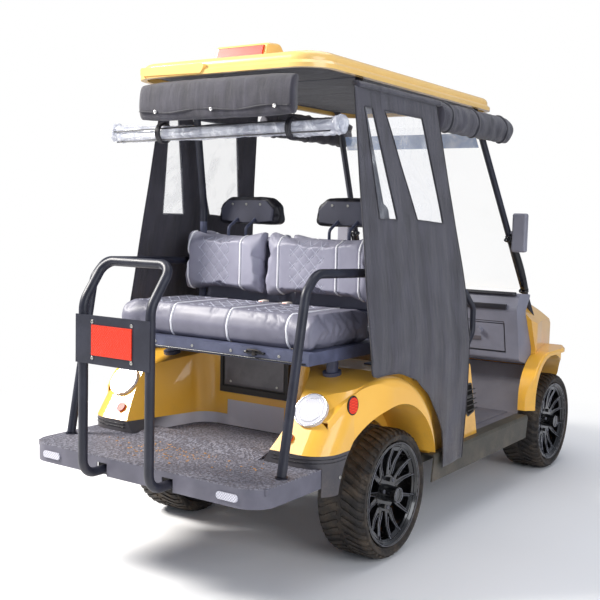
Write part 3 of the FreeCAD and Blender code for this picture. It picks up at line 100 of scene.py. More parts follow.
def place_camera():
    yaw, pitch, roll = (math.radians(a) for a in (CAMERA_YAW, CAMERA_PITCH, CAMERA_ROLL))
    forward = Vector((math.cos(pitch) * math.cos(yaw), math.cos(pitch) * math.sin(yaw), math.sin(pitch)))
    level = forward.cross(Vector((0, 0, 1))).normalized()
    upright = level.cross(forward)
    right = level * math.cos(roll) + upright * math.sin(roll)
    up = right.cross(forward)
    data = bpy.data.cameras.new("camera")
    data.lens = CAMERA_LENS
    data.sensor_width = 36.0
    data.clip_end = 50.0
    camera = bpy.data.objects.new("camera", data)
    turn = Matrix((right, up, -forward)).transposed().to_4x4()
    camera.matrix_world = Matrix.Translation(at(CAMERA_X, CAMERA_Y, CAMERA_Z)) @ turn
    bpy.context.scene.collection.objects.link(camera)
    bpy.context.scene.camera = camera
    return camera


camera = place_camera()
print("camera at", [round(v, 3) for v in camera.matrix_world.translation])

# %% [markdown]
# Shader maths reads best as plain expressions, so one small class wraps a socket and
# turns +, -, * and ** into Math nodes. Colours go through Mix nodes instead, because a
# Math node would turn them grey.

# %% Shader helper


class Value:
    """A socket of a node tree that can be used in an expression."""

    def __init__(self, paint, socket):
        self.paint = paint
        self.socket = socket

    def maths(self, operation, other=None, flip=False, clamp=False):
        first, second = (other, self) if flip else (self, other)
        inputs = {0: first} if other is None else {0: first, 1: second}
        return self.paint.node("ShaderNodeMath", {"operation": operation, "use_clamp": clamp}, inputs)

    def __add__(self, other):
        return self.maths("ADD", other)

    def __radd__(self, other):
        return self.maths("ADD", other, flip=True)

    def __sub__(self, other):
        return self.maths("SUBTRACT", other)

    def __rsub__(self, other):
        return self.maths("SUBTRACT", other, flip=True)

    def __mul__(self, other):
        return self.maths("MULTIPLY", other)

    def __rmul__(self, other):
        return self.maths("MULTIPLY", other, flip=True)

    def __pow__(self, other):
        return self.maths("POWER", other)

    def clamp(self):
        return self.maths("ADD", 0.0, clamp=True)

    def sine(self):
        return self.maths("SINE")

    def ramp(self, low_value, high_value, to_low=0.0, to_high=1.0):
        """A smooth step from low_value to high_value."""
        settings = {"interpolation_type": "SMOOTHSTEP"}
        inputs = {0: self, 1: low_value, 2: high_value, 3: to_low, 4: to_high}
        return self.paint.node("ShaderNodeMapRange", settings, inputs)


class Paint:
    """A material built from one Principled shader and the patterns that feed it."""

    def __init__(self, name, **constants):
        self.material = bpy.data.materials.new(name)
        self.material.use_nodes = True
        self.tree = self.material.node_tree
        self.shader = self.tree.nodes["Principled BSDF"]
        for socket_name, value in constants.items():
            self.shader.inputs[socket_name.replace("_", " ")].default_value = value
        self.coordinates = self.tree.nodes.new("ShaderNodeTexCoord")

    def node(self, kind, settings=None, inputs=None, out=0):
        made = self.tree.nodes.new(kind)
        for name, value in (settings or {}).items():
            setattr(made, name, value)
        for key, value in (inputs or {}).items():
            socket = made.inputs[key]
            if isinstance(value, Value):
                self.tree.links.new(value.socket, socket)
            else:
                socket.default_value = value
        return Value(self, made.outputs[out])

    def place(self):
        return Value(self, self.coordinates.outputs["Object"])

    def split(self, vector):
        return [self.node("ShaderNodeSeparateXYZ", None, {0: vector}, out) for out in range(3)]

    def scaled(self, sizes):
        return self.node("ShaderNodeMapping", None, {"Vector": self.place(), "Scale": sizes})

    def noise(self, scale, detail=2.0, rough=0.5, warp=0.0, vector=None):
        inputs = {"Vector": vector or self.place(), "Scale": scale, "Detail": detail, "Roughness": rough,
                  "Distortion": warp}
        return self.node("ShaderNodeTexNoise", None, inputs)

    def cells(self, scale, feature="F1"):
        inputs = {"Vector": self.place(), "Scale": scale, "Randomness": 1.0}
        return self.node("ShaderNodeTexVoronoi", {"feature": feature}, inputs)

    def mix(self, share, first, second):
        made = self.node("ShaderNodeMix", {"data_type": "RGBA"}, {0: share}, 2)
        for index, value in ((6, first), (7, second)):
            socket = made.socket.node.inputs[index]
            if isinstance(value, Value):
                self.tree.links.new(value.socket, socket)
            else:
                socket.default_value = value if len(value) == 4 else (*value, 1.0)
        return made

    def bump(self, height, depth, under=None):
        inputs = {"Height": height, "Distance": depth, "Strength": 1.0}
        if under is not None:
            inputs["Normal"] = under
        return self.node("ShaderNodeBump", None, inputs)

    def feed(self, **values):
        for socket_name, value in values.items():
            self.tree.links.new(value.socket, self.shader.inputs[socket_name.replace("_", " ")])
        return self.material


def colour(red, green, blue):
    """A linear colour from one read off a screen, 0 to 255."""
    out = []
    for channel in (red, green, blue):
        share = channel / 255.0
        out.append(share / 12.92 if share <= 0.04045 else ((share + 0.055) / 1.055) ** 2.4)
    return (*out, 1.0)


print("yellow in linear light", [round(c, 3) for c in colour(245, 180, 50)])

# %% [markdown]
# The body panels are glossy yellow paint on moulded plastic. The paint has a soft
# orange-peel ripple, slightly uneven colour, and road dust that thickens towards the
# ground. A clear coat gives the sharp second reflection.

# %% Body paint


def dust_mask(paint, floor_z, top_z, amount):
    """Dust that settles low on the cart, broken up by noise."""
    height = paint.split(paint.place())[2]
    low_share = 1.0 - height.ramp(floor_z, top_z)
    cloud = paint.noise(9.0, 5.0, 0.62).ramp(0.36, 0.72)
    grit = paint.noise(140.0, 3.0, 0.6).ramp(0.45, 0.75)
    return (low_share * (cloud * 0.8 + grit * 0.35) * amount).clamp()


def make_body_paint(name, base, shade, dust, dust_top):
    paint = Paint(name, Coat_Roughness=0.05, Coat_Weight=0.55, Specular_IOR_Level=0.5)
    patch = paint.noise(2.3, 3.0, 0.55)
    tone = paint.mix(patch.ramp(0.3, 0.7), base, shade)
    grime = dust_mask(paint, 0.25, dust_top, dust)
    speck = paint.cells(160.0).ramp(0.10, 0.02) * paint.noise(11.0).ramp(0.55, 0.7)
    dusty = paint.mix((grime + speck * 0.35).clamp(), tone, colour(164, 128, 92))
    rough = 0.26 + patch * 0.10 + grime * 0.45
    peel = paint.bump(paint.noise(230.0, 1.0), 0.00018)
    wave = paint.bump(paint.noise(7.0, 1.0), 0.0012, peel)
    return paint.feed(Base_Color=dusty, Roughness=rough, Normal=wave)


body_paint = make_body_paint("body_yellow", colour(251, 194, 76), colour(244, 182, 60), 0.55, 0.62)
roof_paint = make_body_paint("roof_yellow", colour(246, 204, 122), colour(240, 194, 106), 0.0, 0.3)
print("paints", body_paint.name, roof_paint.name)

# %% [markdown]
# Tubes and brackets are powder coated black. The coat is a fine pebbled skin, worn thin
# and dusty at the feet; the bluish sheen where the sky catches it is painted into the tubes' colour.

# %% Powder coat, plastics and bare steel


def make_coat(name, base, rough, pebble=0.00010, dust=0.25, dust_top=0.6, metal=0.0):
    paint = Paint(name, Metallic=metal, Specular_IOR_Level=0.5)
    patch = paint.noise(13.0, 4.0, 0.6)
    grime = dust_mask(paint, 0.05, dust_top, dust)
    light = tuple(min(1.0, c * 1.5 + 0.006) for c in base[:3])
    tone = paint.mix(patch.ramp(0.35, 0.75), base, light)
    dusty = paint.mix(grime, tone, colour(128, 112, 96))
    skin = paint.bump(paint.noise(520.0, 2.0, 0.6), pebble)
    return paint.feed(Base_Color=dusty, Roughness=rough + patch * 0.12 + grime * 0.3, Normal=skin)


def make_grained(name, base, rough, grain=700.0, depth=0.00022, dust=0.3, dust_top=0.7):
    """Moulded plastic with a leather-like grain."""
    paint = Paint(name, Specular_IOR_Level=0.42)
    patch = paint.noise(5.0, 4.0, 0.6)
    grime = dust_mask(paint, 0.1, dust_top, dust)
    light = tuple(min(1.0, c * 1.22 + 0.004) for c in base[:3])
    tone = paint.mix(patch.ramp(0.3, 0.7), base, light)
    dusty = paint.mix(grime, tone, colour(150, 134, 118))
    cell = paint.cells(grain, "SMOOTH_F1")
    skin = paint.bump(cell * 0.8 + paint.noise(grain * 2.5) * 0.4, depth)
    return paint.feed(Base_Color=dusty, Roughness=rough + patch * 0.1 + grime * 0.2, Normal=skin)


def make_panel_grey():
    """The lower panel: pale with painted sunlight inside the foot space, dark with painted shade where it
    wraps the corners.
    """
    paint = Paint("grey_plastic", Specular_IOR_Level=0.42)
    y = paint.split(paint.place())[1]
    # painted light and shade: pale in the sunlit recess, dark at the shaded corners
    inside = (y * y).ramp(0.095, 0.075)
    grime = dust_mask(paint, 0.2, 0.6, 0.4)
    base = paint.mix(inside, colour(68, 66, 71), colour(206, 204, 213))
    tone = paint.mix(grime, base, colour(136, 122, 108))
    skin = paint.bump(paint.cells(620.0, "SMOOTH_F1"), 0.0002)
    return paint.feed(Base_Color=tone, Roughness=0.5 + grime * 0.2, Normal=skin)


def make_stippled():
    """The platform: raised stipple on its top, darker between the bumps, with dirt in patches; its sides are
    painted darker than the lit top, as shade.
    """
    paint = Paint("platform_plastic", Specular_IOR_Level=0.42)
    z = paint.split(paint.place())[2]
    top = z.ramp(0.424, 0.429)
    bumps = paint.noise(105.0, 2.0, 0.7).ramp(0.44, 0.58)
    cloud = paint.noise(8.0, 4.0, 0.6).ramp(0.3, 0.75)
    pale = paint.mix(cloud, colour(124, 123, 134), colour(142, 141, 152))
    pits_and_bumps = paint.mix(bumps, colour(88, 86, 95), pale)
    # painted light and shade: the sides take a darker colour than the lit top
    side = paint.mix(cloud, colour(92, 91, 102), colour(108, 106, 118))
    grit = paint.noise(24.0, 4.0, 0.7).ramp(0.6, 0.8) * 0.3 * top
    tone = paint.mix(grit, paint.mix(top, side, pits_and_bumps), colour(150, 128, 104))
    return paint.feed(Base_Color=tone, Roughness=0.52 + grit * 0.3, Normal=paint.bump(bumps * top, 0.0016))


# the blue in the black tube colour is a painted sheen: the sky's reflection on the tubes
black_tube_painted_sheen = make_coat("black_tube_painted_sheen", colour(24, 26, 40), 0.38)
chassis_black = make_coat("chassis_black", colour(34, 32, 32), 0.55, 0.0003, 0.85, 0.5)
spring_black = make_coat("spring_black", colour(48, 44, 42), 0.5, 0.0004, 0.8, 0.5, 0.4)
tray_coat = make_coat("tray_coat", colour(72, 76, 98), 0.42, 0.00012, 0.1)
dark_plastic = make_grained("dark_plastic", colour(46, 45, 44), 0.5)
rocker_plastic = make_grained("rocker_plastic", colour(62, 60, 52), 0.48, 500.0, 0.0002, 0.6, 0.45)
dash_plastic = make_grained("dash_plastic", colour(122, 122, 134), 0.46, 480.0, 0.00025, 0.0)
floor_plastic = make_grained("floor_plastic", colour(100, 98, 106), 0.62, 300.0, 0.0004, 0.5, 0.5)
mirror_plastic = make_grained("mirror_plastic", colour(124, 123, 133), 0.4, 800.0, 0.0001, 0.0)
grey_plastic = make_panel_grey()
platform_plastic = make_stippled()
battery_case = make_grained("battery_case", colour(52, 52, 56), 0.5)
black_paint = make_coat("black_paint", colour(16, 16, 20), 0.22, 0.00004, 0.0)
print("plastics and coats ready")

# %% [markdown]
# Rims are gloss black with a machined silver line along the spokes, tyres are dusty
# rubber whose sidewall is smoother than the tread, and both collect brake and road dust.

# %% Rubber and rims


def make_rubber():
    paint = Paint("tyre_rubber", Specular_IOR_Level=0.35)
    cloud = paint.noise(16.0, 5.0, 0.65, 0.4)
    grit = paint.noise(210.0, 3.0, 0.6)
    grime = (cloud.ramp(0.35, 0.75) * 0.45 + grit.ramp(0.5, 0.8) * 0.25).clamp()
    tone = paint.mix(grime, colour(38, 36, 36), colour(112, 98, 82))
    skin = paint.bump(grit, 0.00025)
    return paint.feed(Base_Color=tone, Roughness=0.62 + grime * 0.25, Normal=skin)


def make_rim_black():
    paint = Paint("rim_gloss_black", Coat_Weight=0.7, Coat_Roughness=0.04, Specular_IOR_Level=0.5)
    cloud = paint.noise(30.0, 4.0, 0.6)
    grime = cloud.ramp(0.52, 0.85) * 0.22
    tone = paint.mix(grime, colour(8, 8, 10), colour(72, 64, 56))
    return paint.feed(Base_Color=tone, Roughness=0.2 + grime * 1.2,
                      Normal=paint.bump(paint.noise(300.0), 0.00005))


def make_metal(name, base, rough, lines=0.00003):
    paint = Paint(name, Metallic=1.0)
    patch = paint.noise(60.0, 4.0, 0.6)
    tone = paint.mix(patch.ramp(0.4, 0.8), base, tuple(c * 0.72 for c in base[:3]))
    return paint.feed(Base_Color=tone, Roughness=rough + patch * 0.18, Normal=paint.bump(patch, lines))


tyre_rubber = make_rubber()
rim_black = make_rim_black()
machined = make_metal("machined_line", colour(142, 142, 150), 0.3)
screw_steel = make_metal("screw_steel", colour(190, 188, 182), 0.3)
chrome = make_metal("chrome_trim", colour(225, 226, 230), 0.1)
print("rubber, rims and bare metal ready")

# %% [markdown]
# Clear pieces: the windshield is thin acrylic, a blue tint band runs along its top; the
# curtain windows are soft vinyl, slightly milky and rippled, so they show highlights.
# The exported model keeps alpha rather than refraction, so these use alpha.

# %% Clear and lamp materials


def make_clear(name, tint, alpha, rough, ripple, scale, milk=0.0):
    paint = Paint(name, Specular_IOR_Level=0.8, IOR=1.45)
    paint.material.surface_render_method = "BLENDED"
    wave = paint.noise(scale, 4.0, 0.6, 1.2)
    haze = wave.ramp(0.42, 0.75)
    base = paint.mix(haze, tint, (0.92, 0.93, 0.96, 1.0))
    face = paint.bump(wave, ripple)
    return paint.feed(Base_Color=base, Alpha=(alpha + haze * milk).clamp(), Normal=face,
                      Roughness=rough + haze * 0.15)


def make_lens(name, base, dark):
    """A moulded lens: fine ribs behind a satin face."""
    paint = Paint(name, Coat_Weight=0.12, Coat_Roughness=0.2, Specular_IOR_Level=0.3)
    y, z = paint.split(paint.place())[1:]
    rib = ((y * 620.0).sine() * (z * 620.0).sine()).ramp(-0.6, 0.8)
    tone = paint.mix(rib, dark, base)
    return paint.feed(Base_Color=tone, Roughness=rib * -0.12 + 0.46, Normal=paint.bump(rib, 0.0006))


windshield_clear = make_clear("windshield_clear", colour(236, 240, 244), 0.035, 0.06, 0.0002, 3.0, 0.015)
curtain_clear = make_clear("curtain_clear", colour(214, 216, 226), 0.16, 0.12, 0.003, 7.0, 0.22)
roll_vinyl = make_clear("roll_vinyl", colour(206, 209, 222), 0.55, 0.10, 0.006, 16.0, 0.4)
red_lens = make_lens("red_lens", colour(238, 66, 32), colour(214, 44, 24))
clear_lens = make_lens("clear_lens", colour(224, 223, 231), colour(172, 171, 184))
print("clear pieces ready")

# %% [markdown]
# The curtains and rolls are coated canvas, a plain weave of two thread directions with
# a slight sheen. The seats are smooth vinyl with a fine leather grain.

# %% Cloth and vinyl


def make_canvas(name, base, light):
    paint = Paint(name, Sheen_Weight=0.25, Sheen_Roughness=0.5, Specular_IOR_Level=0.35)
    x, y, z = paint.split(paint.place())
    weave = ((x + y) * 5200.0).sine() * (z * 5200.0).sine()
    cloud = paint.noise(7.0, 4.0, 0.6)
    streak = paint.noise(6.0, 3.0, 0.6, 0.0, paint.scaled((5.0, 5.0, 0.7)))
    tone = paint.mix((cloud * 0.5 + streak * 0.5).ramp(0.35, 0.7), base, light)
    dusty = paint.mix(dust_mask(paint, 0.3, 0.95, 0.35), tone, colour(134, 122, 112))
    fold = paint.bump(streak, 0.004)
    skin = paint.bump(weave, 0.00015, fold)
    return paint.feed(Base_Color=dusty, Roughness=0.72 + weave * 0.04, Normal=skin)


def make_vinyl(name, base, light, rough=0.42):
    paint = Paint(name, Specular_IOR_Level=0.45, Coat_Weight=0.08, Coat_Roughness=0.3)
    cell = paint.cells(620.0, "SMOOTH_F1")
    cloud = paint.noise(6.0, 4.0, 0.6)
    tone = paint.mix(cloud.ramp(0.3, 0.72), base, light)
    skin = paint.bump(cell + paint.noise(1500.0) * 0.3, 0.00018)
    return paint.feed(Base_Color=tone, Roughness=rough + cloud * 0.12, Normal=skin)


canvas = make_canvas("dark_canvas", colour(50, 48, 56), colour(70, 68, 79))
# one vinyl in two copies: the lighter one for the seat backs is painted light, the darker one for the
# cushions painted shade
seat_vinyl = make_vinyl("seat_vinyl", colour(148, 147, 165), colour(166, 165, 182))
shaded_cushion_vinyl = make_vinyl("shaded_cushion_vinyl", colour(106, 105, 120), colour(122, 121, 136))
black_vinyl = make_vinyl("black_vinyl", colour(26, 26, 32), colour(38, 37, 45), 0.4)
piping_white = make_vinyl("piping_white", colour(236, 236, 242), colour(246, 246, 250), 0.35)
thread_pale = make_vinyl("thread_pale", colour(196, 198, 214), colour(210, 212, 226), 0.5)
print("cloth and vinyl ready")

# %% [markdown]
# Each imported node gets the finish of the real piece. Only the material slot changes:
# the shapes stay as they were made.

# %% Dress the rigid nodes
finishes = {
    body_paint: ["rear_body", "front_cowl", "seat_base"],
    roof_paint: ["roof"],
    black_tube_painted_sheen: ["grab_rails", "hoop", "roof_frame", "hip_restraints"],
    chassis_black: ["frame_rails", "rear_axle", "front_axle_beam"],
    spring_black: ["leaf_springs", "knuckle_left", "knuckle_right", "tie_rod"],
    tray_coat: ["seat_frame"],
    dark_plastic: ["front_bumper", "seat_base_vents", "number_plate"],
    rocker_plastic: ["rockers"],
    grey_plastic: ["rear_lower_panel"],
    dash_plastic: ["dashboard", "glovebox_lid"],
    floor_plastic: ["floor_pan"],
    platform_plastic: ["platform"],
    mirror_plastic: ["side_mirrors"],
    battery_case: ["battery_block"],
    black_paint: ["driver_controls", "steering_wheel"],
    rim_black: [n for n in nodes if n.startswith("rim_")],
    tyre_rubber: [n for n in nodes if n.startswith("tyre_")],
    windshield_clear: ["windshield"],
    curtain_clear: ["curtain_panes"],
    roll_vinyl: ["rear_window_roll"],
    red_lens: ["red_lenses"],
    clear_lens: ["tail_lamps", "headlamps"],
    canvas: ["side_curtains", "edge_rolls"],
    seat_vinyl: ["front_seat_cushion", "front_seat_back", "rear_seat_cushion", "rear_seat_back"],
    black_vinyl: ["headrests"],
}


def dress(node, material):
    for holder in nodes[node].material_slots:
        holder.link = "OBJECT"
        holder.material = material


for material, names in finishes.items():
    for name in names:
        dress(name, material)
dressed = {name for names in finishes.values() for name in names}
print("dressed", len(dressed), "of", len(nodes), "left", sorted(set(nodes) - dressed))

# %% [markdown]
# Hand-made pieces start as plain meshes. One helper turns a bmesh into a finished piece
# that rides on its body, one sweeps a round tube along a line of points, and others close
# a row of outlines or a grid of points with faces.

# %% Mesh helpers
scene = bpy.context.scene


def make_piece(name, bm, materials, body, stands_for=(), smooth=True):
    """Turn a bmesh into a piece that rides on a body and stands for some nodes."""
    mesh = bpy.data.meshes.new(name)
    bm.to_mesh(mesh)
    bm.free()
    for face in mesh.polygons:
        face.use_smooth = smooth
    for material in materials if isinstance(materials, (list, tuple)) else [materials]:
        mesh.materials.append(material)
    piece = bpy.data.objects.new(name, mesh)
    scene.collection.objects.link(piece)
    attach(piece, body)
    if stands_for:
        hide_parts(*stands_for)
    return piece


def eased(points, steps=6):
    """Points along a smooth line through the given ones."""
    places = [Vector(p) for p in points]
    ends = [places[0] * 2 - places[1]] + places + [places[-1] * 2 - places[-2]]
    line = []
    for i in range(1, len(ends) - 2):
        a, b, c, d = ends[i - 1:i + 3]
        for step in range(steps):
            t = step / steps
            line.append(0.5 * ((2 * b) + (c - a) * t + (2 * a - 5 * b + 4 * c - d) * t * t
                               + (3 * b - a - 3 * c + d) * t ** 3))
    return line + [places[-1]]


def sweep(bm, line, radius, sides=8, closed=False, flat=1.0):
    """A tube of the given radius along a line; flat squeezes it across."""
    count = len(line)
    rings = []
    side = None
    for i, place in enumerate(line):
        before = line[i - 1] if i or closed else line[0]
        after = line[(i + 1) % count] if i < count - 1 or closed else line[-1]
        along = (after - before).normalized()
        if side is None:
            side = along.orthogonal().normalized()
        side = (side - along * side.dot(along)).normalized()
        other = along.cross(side)
        rings.append([bm.verts.new(place + side * math.cos(math.tau * k / sides) * radius
                                   + other * math.sin(math.tau * k / sides) * radius * flat)
                      for k in range(sides)])
    skin(bm, rings + [rings[0]] if closed else rings, not closed)


def circle(centre, axis, radius, count=40, squeeze=1.0):
    """Points round a circle or, squeezed, an oval that stands up."""
    axis = Vector(axis).normalized()
    side = axis.cross(Vector((0, 0, 1))).normalized()
    up = side.cross(axis)
    return [Vector(centre) + side * math.cos(math.tau * i / count) * radius * squeeze
            + up * math.sin(math.tau * i / count) * radius for i in range(count)]


def skin(bm, rings, ends=True):
    """Faces between rings of points, and over the first and the last ring."""
    count = len(rings[0])
    for first, second in zip(rings, rings[1:]):
        for k in range(count):
            n = (k + 1) % count
            bm.faces.new((first[k], first[n], second[n], second[k]))
    if ends:
        bm.faces.new(list(reversed(rings[0])))
        bm.faces.new(rings[-1])


def slab(bm, outline, low_y, high_y):
    """A flat plate across the cart from a side outline of (x, z) in millimetres."""
    skin(bm, [[bm.verts.new(at(x, y, z)) for x, z in reversed(outline)] for y in (low_y, high_y)])


def grid_faces(bm, grid, flip=False):
    """Faces over a grid of points, a row at a time."""
    for upper, lower in zip(grid, grid[1:]):
        for i in range(len(upper) - 1):
            loop = (upper[i], upper[i + 1], lower[i + 1], lower[i])
            bm.faces.new(tuple(reversed(loop)) if flip else loop)


def outline_points(corners, steps):
    """Points spread evenly along the sides of a closed outline."""
    line = []
    for (ax, az), (bx, bz) in zip(corners, corners[1:] + corners[:1]):
        line += [(ax + (bx - ax) * k / steps, az + (bz - az) * k / steps) for k in range(steps)]
    return line


print("smooth line through 3 points has", len(eased([(0, 0, 0), (1, 0, 0), (1, 1, 0)])), "points")

# %% [markdown]
# Screws, tread blocks and crumbs are all one small shape set many times on a list of
# places. A Geometry Nodes tree does that: each place carries the directions that the
# shape's own up and forward sides should face, and its size.

# %% A tree that sets a shape on places


def build_setter():
    tree = bpy.data.node_groups.new("set_on_places", "GeometryNodeTree")
    face = tree.interface
    face.new_socket("Geometry", in_out="INPUT", socket_type="NodeSocketGeometry")
    face.new_socket("Shape", in_out="INPUT", socket_type="NodeSocketObject")
    face.new_socket("Size", in_out="INPUT", socket_type="NodeSocketFloat").default_value = 1.0
    face.new_socket("Variation", in_out="INPUT", socket_type="NodeSocketFloat").default_value = 0.0
    face.new_socket("Seed", in_out="INPUT", socket_type="NodeSocketInt").default_value = 7
    face.new_socket("Finish", in_out="INPUT", socket_type="NodeSocketMaterial")
    face.new_socket("Geometry", in_out="OUTPUT", socket_type="NodeSocketGeometry")
    put, link = tree.nodes.new, tree.links.new
    start, end = put("NodeGroupInput"), put("NodeGroupOutput")
    shape = put("GeometryNodeObjectInfo")
    link(start.outputs["Shape"], shape.inputs["Object"])
    turns = []
    for name, axis in (("up", "Z"), ("forward", "X")):
        stored = put("GeometryNodeInputNamedAttribute")
        stored.data_type = "FLOAT_VECTOR"
        stored.inputs["Name"].default_value = name
        turn = put("FunctionNodeAlignRotationToVector")
        turn.axis = axis
        link(stored.outputs["Attribute"], turn.inputs["Vector"])
        turns.append(turn)
    turns[1].pivot_axis = "Z"
    link(turns[0].outputs["Rotation"], turns[1].inputs["Rotation"])
    wobble = put("FunctionNodeRandomValue")
    wobble.data_type = "FLOAT"
    spread = []
    for operation in ("SUBTRACT", "ADD"):
        sum_node = put("ShaderNodeMath")
        sum_node.operation = operation
        sum_node.inputs[0].default_value = 1.0
        link(start.outputs["Variation"], sum_node.inputs[1])
        spread.append(sum_node)
    link(spread[0].outputs[0], wobble.inputs[2])
    link(spread[1].outputs[0], wobble.inputs[3])
    link(start.outputs["Seed"], wobble.inputs["Seed"])
    size = put("ShaderNodeMath")
    size.operation = "MULTIPLY"
    link(wobble.outputs[1], size.inputs[0])
    link(start.outputs["Size"], size.inputs[1])
    copies = put("GeometryNodeInstanceOnPoints")
    link(start.outputs["Geometry"], copies.inputs["Points"])
    link(shape.outputs["Geometry"], copies.inputs["Instance"])
    link(turns[1].outputs["Rotation"], copies.inputs["Rotation"])
    link(size.outputs[0], copies.inputs["Scale"])
    real = put("GeometryNodeRealizeInstances")
    painted = put("GeometryNodeSetMaterial")
    link(copies.outputs["Instances"], real.inputs["Geometry"])
    link(real.outputs["Geometry"], painted.inputs["Geometry"])
    link(start.outputs["Finish"], painted.inputs["Material"])
    link(painted.outputs["Geometry"], end.inputs["Geometry"])
    return tree


setter = build_setter()
SOCKETS = {item.name: item.identifier for item in setter.interface.items_tree if item.in_out == "INPUT"}


def set_shapes(name, shape_bm, places, material, body, variation=0.0, seed=7, smooth=False):
    """Set one shape on many places; each is (position, up, forward)."""
    shape_mesh = bpy.data.meshes.new(name + "_shape")
    shape_bm.to_mesh(shape_mesh)
    shape_bm.free()
    shape = bpy.data.objects.new(name + "_shape", shape_mesh)
    scene.collection.objects.link(shape)
    points = bpy.data.meshes.new(name + "_places")
    points.from_pydata([p[0] for p in places], [], [])
    for column, title in ((1, "up"), (2, "forward")):
        data = points.attributes.new(title, "FLOAT_VECTOR", "POINT").data
        for item, place in zip(data, places):
            item.vector = place[column]
    holder = bpy.data.objects.new(name + "_places", points)
    scene.collection.objects.link(holder)
    modifier = holder.modifiers.new("set", "NODES")
    modifier.node_group = setter
    for title, value in (("Shape", shape), ("Size", 1.0), ("Variation", variation), ("Seed", seed),
                         ("Finish", material)):
        modifier[SOCKETS[title]] = value
    graph = bpy.context.evaluated_depsgraph_get()
    mesh = bpy.data.meshes.new_from_object(holder.evaluated_get(graph), depsgraph=graph)
    for spare in (holder, shape):
        spare.modifiers.clear()
        bpy.data.objects.remove(spare)
    for face in mesh.polygons:
        face.use_smooth = smooth
    piece = bpy.data.objects.new(name, mesh)
    scene.collection.objects.link(piece)
    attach(piece, body)
    return piece


def screw_shape(radius, height=0.35):
    """A round screw head with a shallow hexagon socket, its top up."""
    bm = bmesh.new()
    profile = [(1.0, 0.0), (1.0, height * 0.5), (0.82, height), (0.45, height * 1.1), (0.4, height * 0.5)]
    turns = [math.tau * k / 12 for k in range(12)]
    rings = []
    for r, z in profile:
        ring = [(math.cos(turn) * r * radius, math.sin(turn) * r * radius, z * radius) for turn in turns]
        rings.append([bm.verts.new(place) for place in ring])
    skin(bm, rings)
    return bm


print("setter inputs", sorted(SOCKETS))

# %% [markdown]
# A seat pad is foam inside a sewn vinyl cover. Its shape starts from the solid that holds
# its place, drawn in a little, then Cloth blows it up from inside for twenty frames, so
# that the crown and the pulled-in corners come by themselves. A pad with a seam down the
# middle is blown up as two pads side by side, which leaves the valley between them. The
# last helpers read where a ray meets a pad, so that piping and thread lie on its surface.

# %% Cushion helpers


def pad_mesh(node, cuts, inset, voxel):
    """Closed, evenly meshed copies of a soft node, split where the cover has a valley."""
    source = bmesh.new()
    source.from_mesh(nodes[node].data)
    bmesh.ops.remove_doubles(source, verts=source.verts, dist=0.0001)
    low_corner, high_corner = (Vector(c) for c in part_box(node))
    edges = [low_corner.y] + list(cuts) + [high_corner.y]
    pads = []
    for left, right in zip(edges, edges[1:]):
        part = source.copy()
        for place, normal in ((left, -1), (right, 1)):
            if place in cuts:
                cut = bmesh.ops.bisect_plane(part, geom=part.verts[:] + part.edges[:] + part.faces[:],
                                             plane_co=(0, place, 0), plane_no=(0, normal, 0),
                                             clear_outer=True)
                rim = [e for e in cut["geom_cut"] if isinstance(e, bmesh.types.BMEdge)]
                bmesh.ops.holes_fill(part, edges=rim)
        bmesh.ops.recalc_face_normals(part, faces=part.faces)
        middle = (low_corner + high_corner) / 2
        middle.y = (left + right) / 2
        size = high_corner - low_corner
        size.y = right - left
        shrink = [1 - 2 * inset / size[i] for i in range(3)]
        for vert in part.verts:
            vert.co = middle + Vector([(vert.co[i] - middle[i]) * shrink[i] for i in range(3)])
        mesh = bpy.data.meshes.new(node + "_pad")
        part.to_mesh(mesh)
        part.free()
        pad = bpy.data.objects.new(node + "_pad", mesh)
        scene.collection.objects.link(pad)
        grid = pad.modifiers.new("grid", "REMESH")
        grid.mode = "VOXEL"
        grid.voxel_size = voxel
        graph = bpy.context.evaluated_depsgraph_get()
        even = bpy.data.meshes.new_from_object(pad.evaluated_get(graph), depsgraph=graph)
        pad.modifiers.clear()
        pad.data = even
        pads.append(pad)
    source.free()
    return pads


def swell(pad, pressure, cap):
    """Blow a pad up with Cloth, moving no point further than cap."""
    rest = [v.co.copy() for v in pad.data.vertices]
    cloth = pad.modifiers.new("swell", "CLOTH")
    cloth.settings.use_pressure = True
    cloth.settings.uniform_pressure_force = pressure
    cloth.settings.effector_weights.gravity = 0.0
    cloth.point_cache.frame_start = 1
    cloth.point_cache.frame_end = 20
    for frame_number in range(1, 21):
        scene.frame_set(frame_number)
    graph = bpy.context.evaluated_depsgraph_get()
    moved = [v.co.copy() for v in pad.evaluated_get(graph).data.vertices]
    pad.modifiers.remove(cloth)
    scene.frame_set(1)
    for vertex, before, after in zip(pad.data.vertices, rest, moved):
        shift = after - before
        if shift.length > cap:
            shift *= cap / shift.length
        vertex.co = before + shift


def keep_within(pad, lowest, highest):
    """Hold a pad flat where it rests on something or meets a neighbour."""
    for vertex in pad.data.vertices:
        for i in range(3):
            vertex.co[i] = min(max(vertex.co[i], lowest[i]), highest[i])


def groove(pad, depth_of):
    """Press sewn channels into a pad, along its own normals."""
    mesh = pad.data
    normals = [v.normal.copy() for v in mesh.vertices]
    for vertex, normal in zip(mesh.vertices, normals):
        depth = depth_of(vertex.co, normal)
        if depth:
            vertex.co -= normal * depth


def join_pads(name, pads, material, body, node):
    bm = bmesh.new()
    for pad in pads:
        bm.from_mesh(pad.data)
        bpy.data.objects.remove(pad)
    piece = make_piece(name, bm, material, body, [node])
    return piece


def tree_of(piece):
    bm = bmesh.new()
    bm.from_mesh(piece.data)
    tree = BVHTree.FromBMesh(bm)
    bm.free()
    return tree


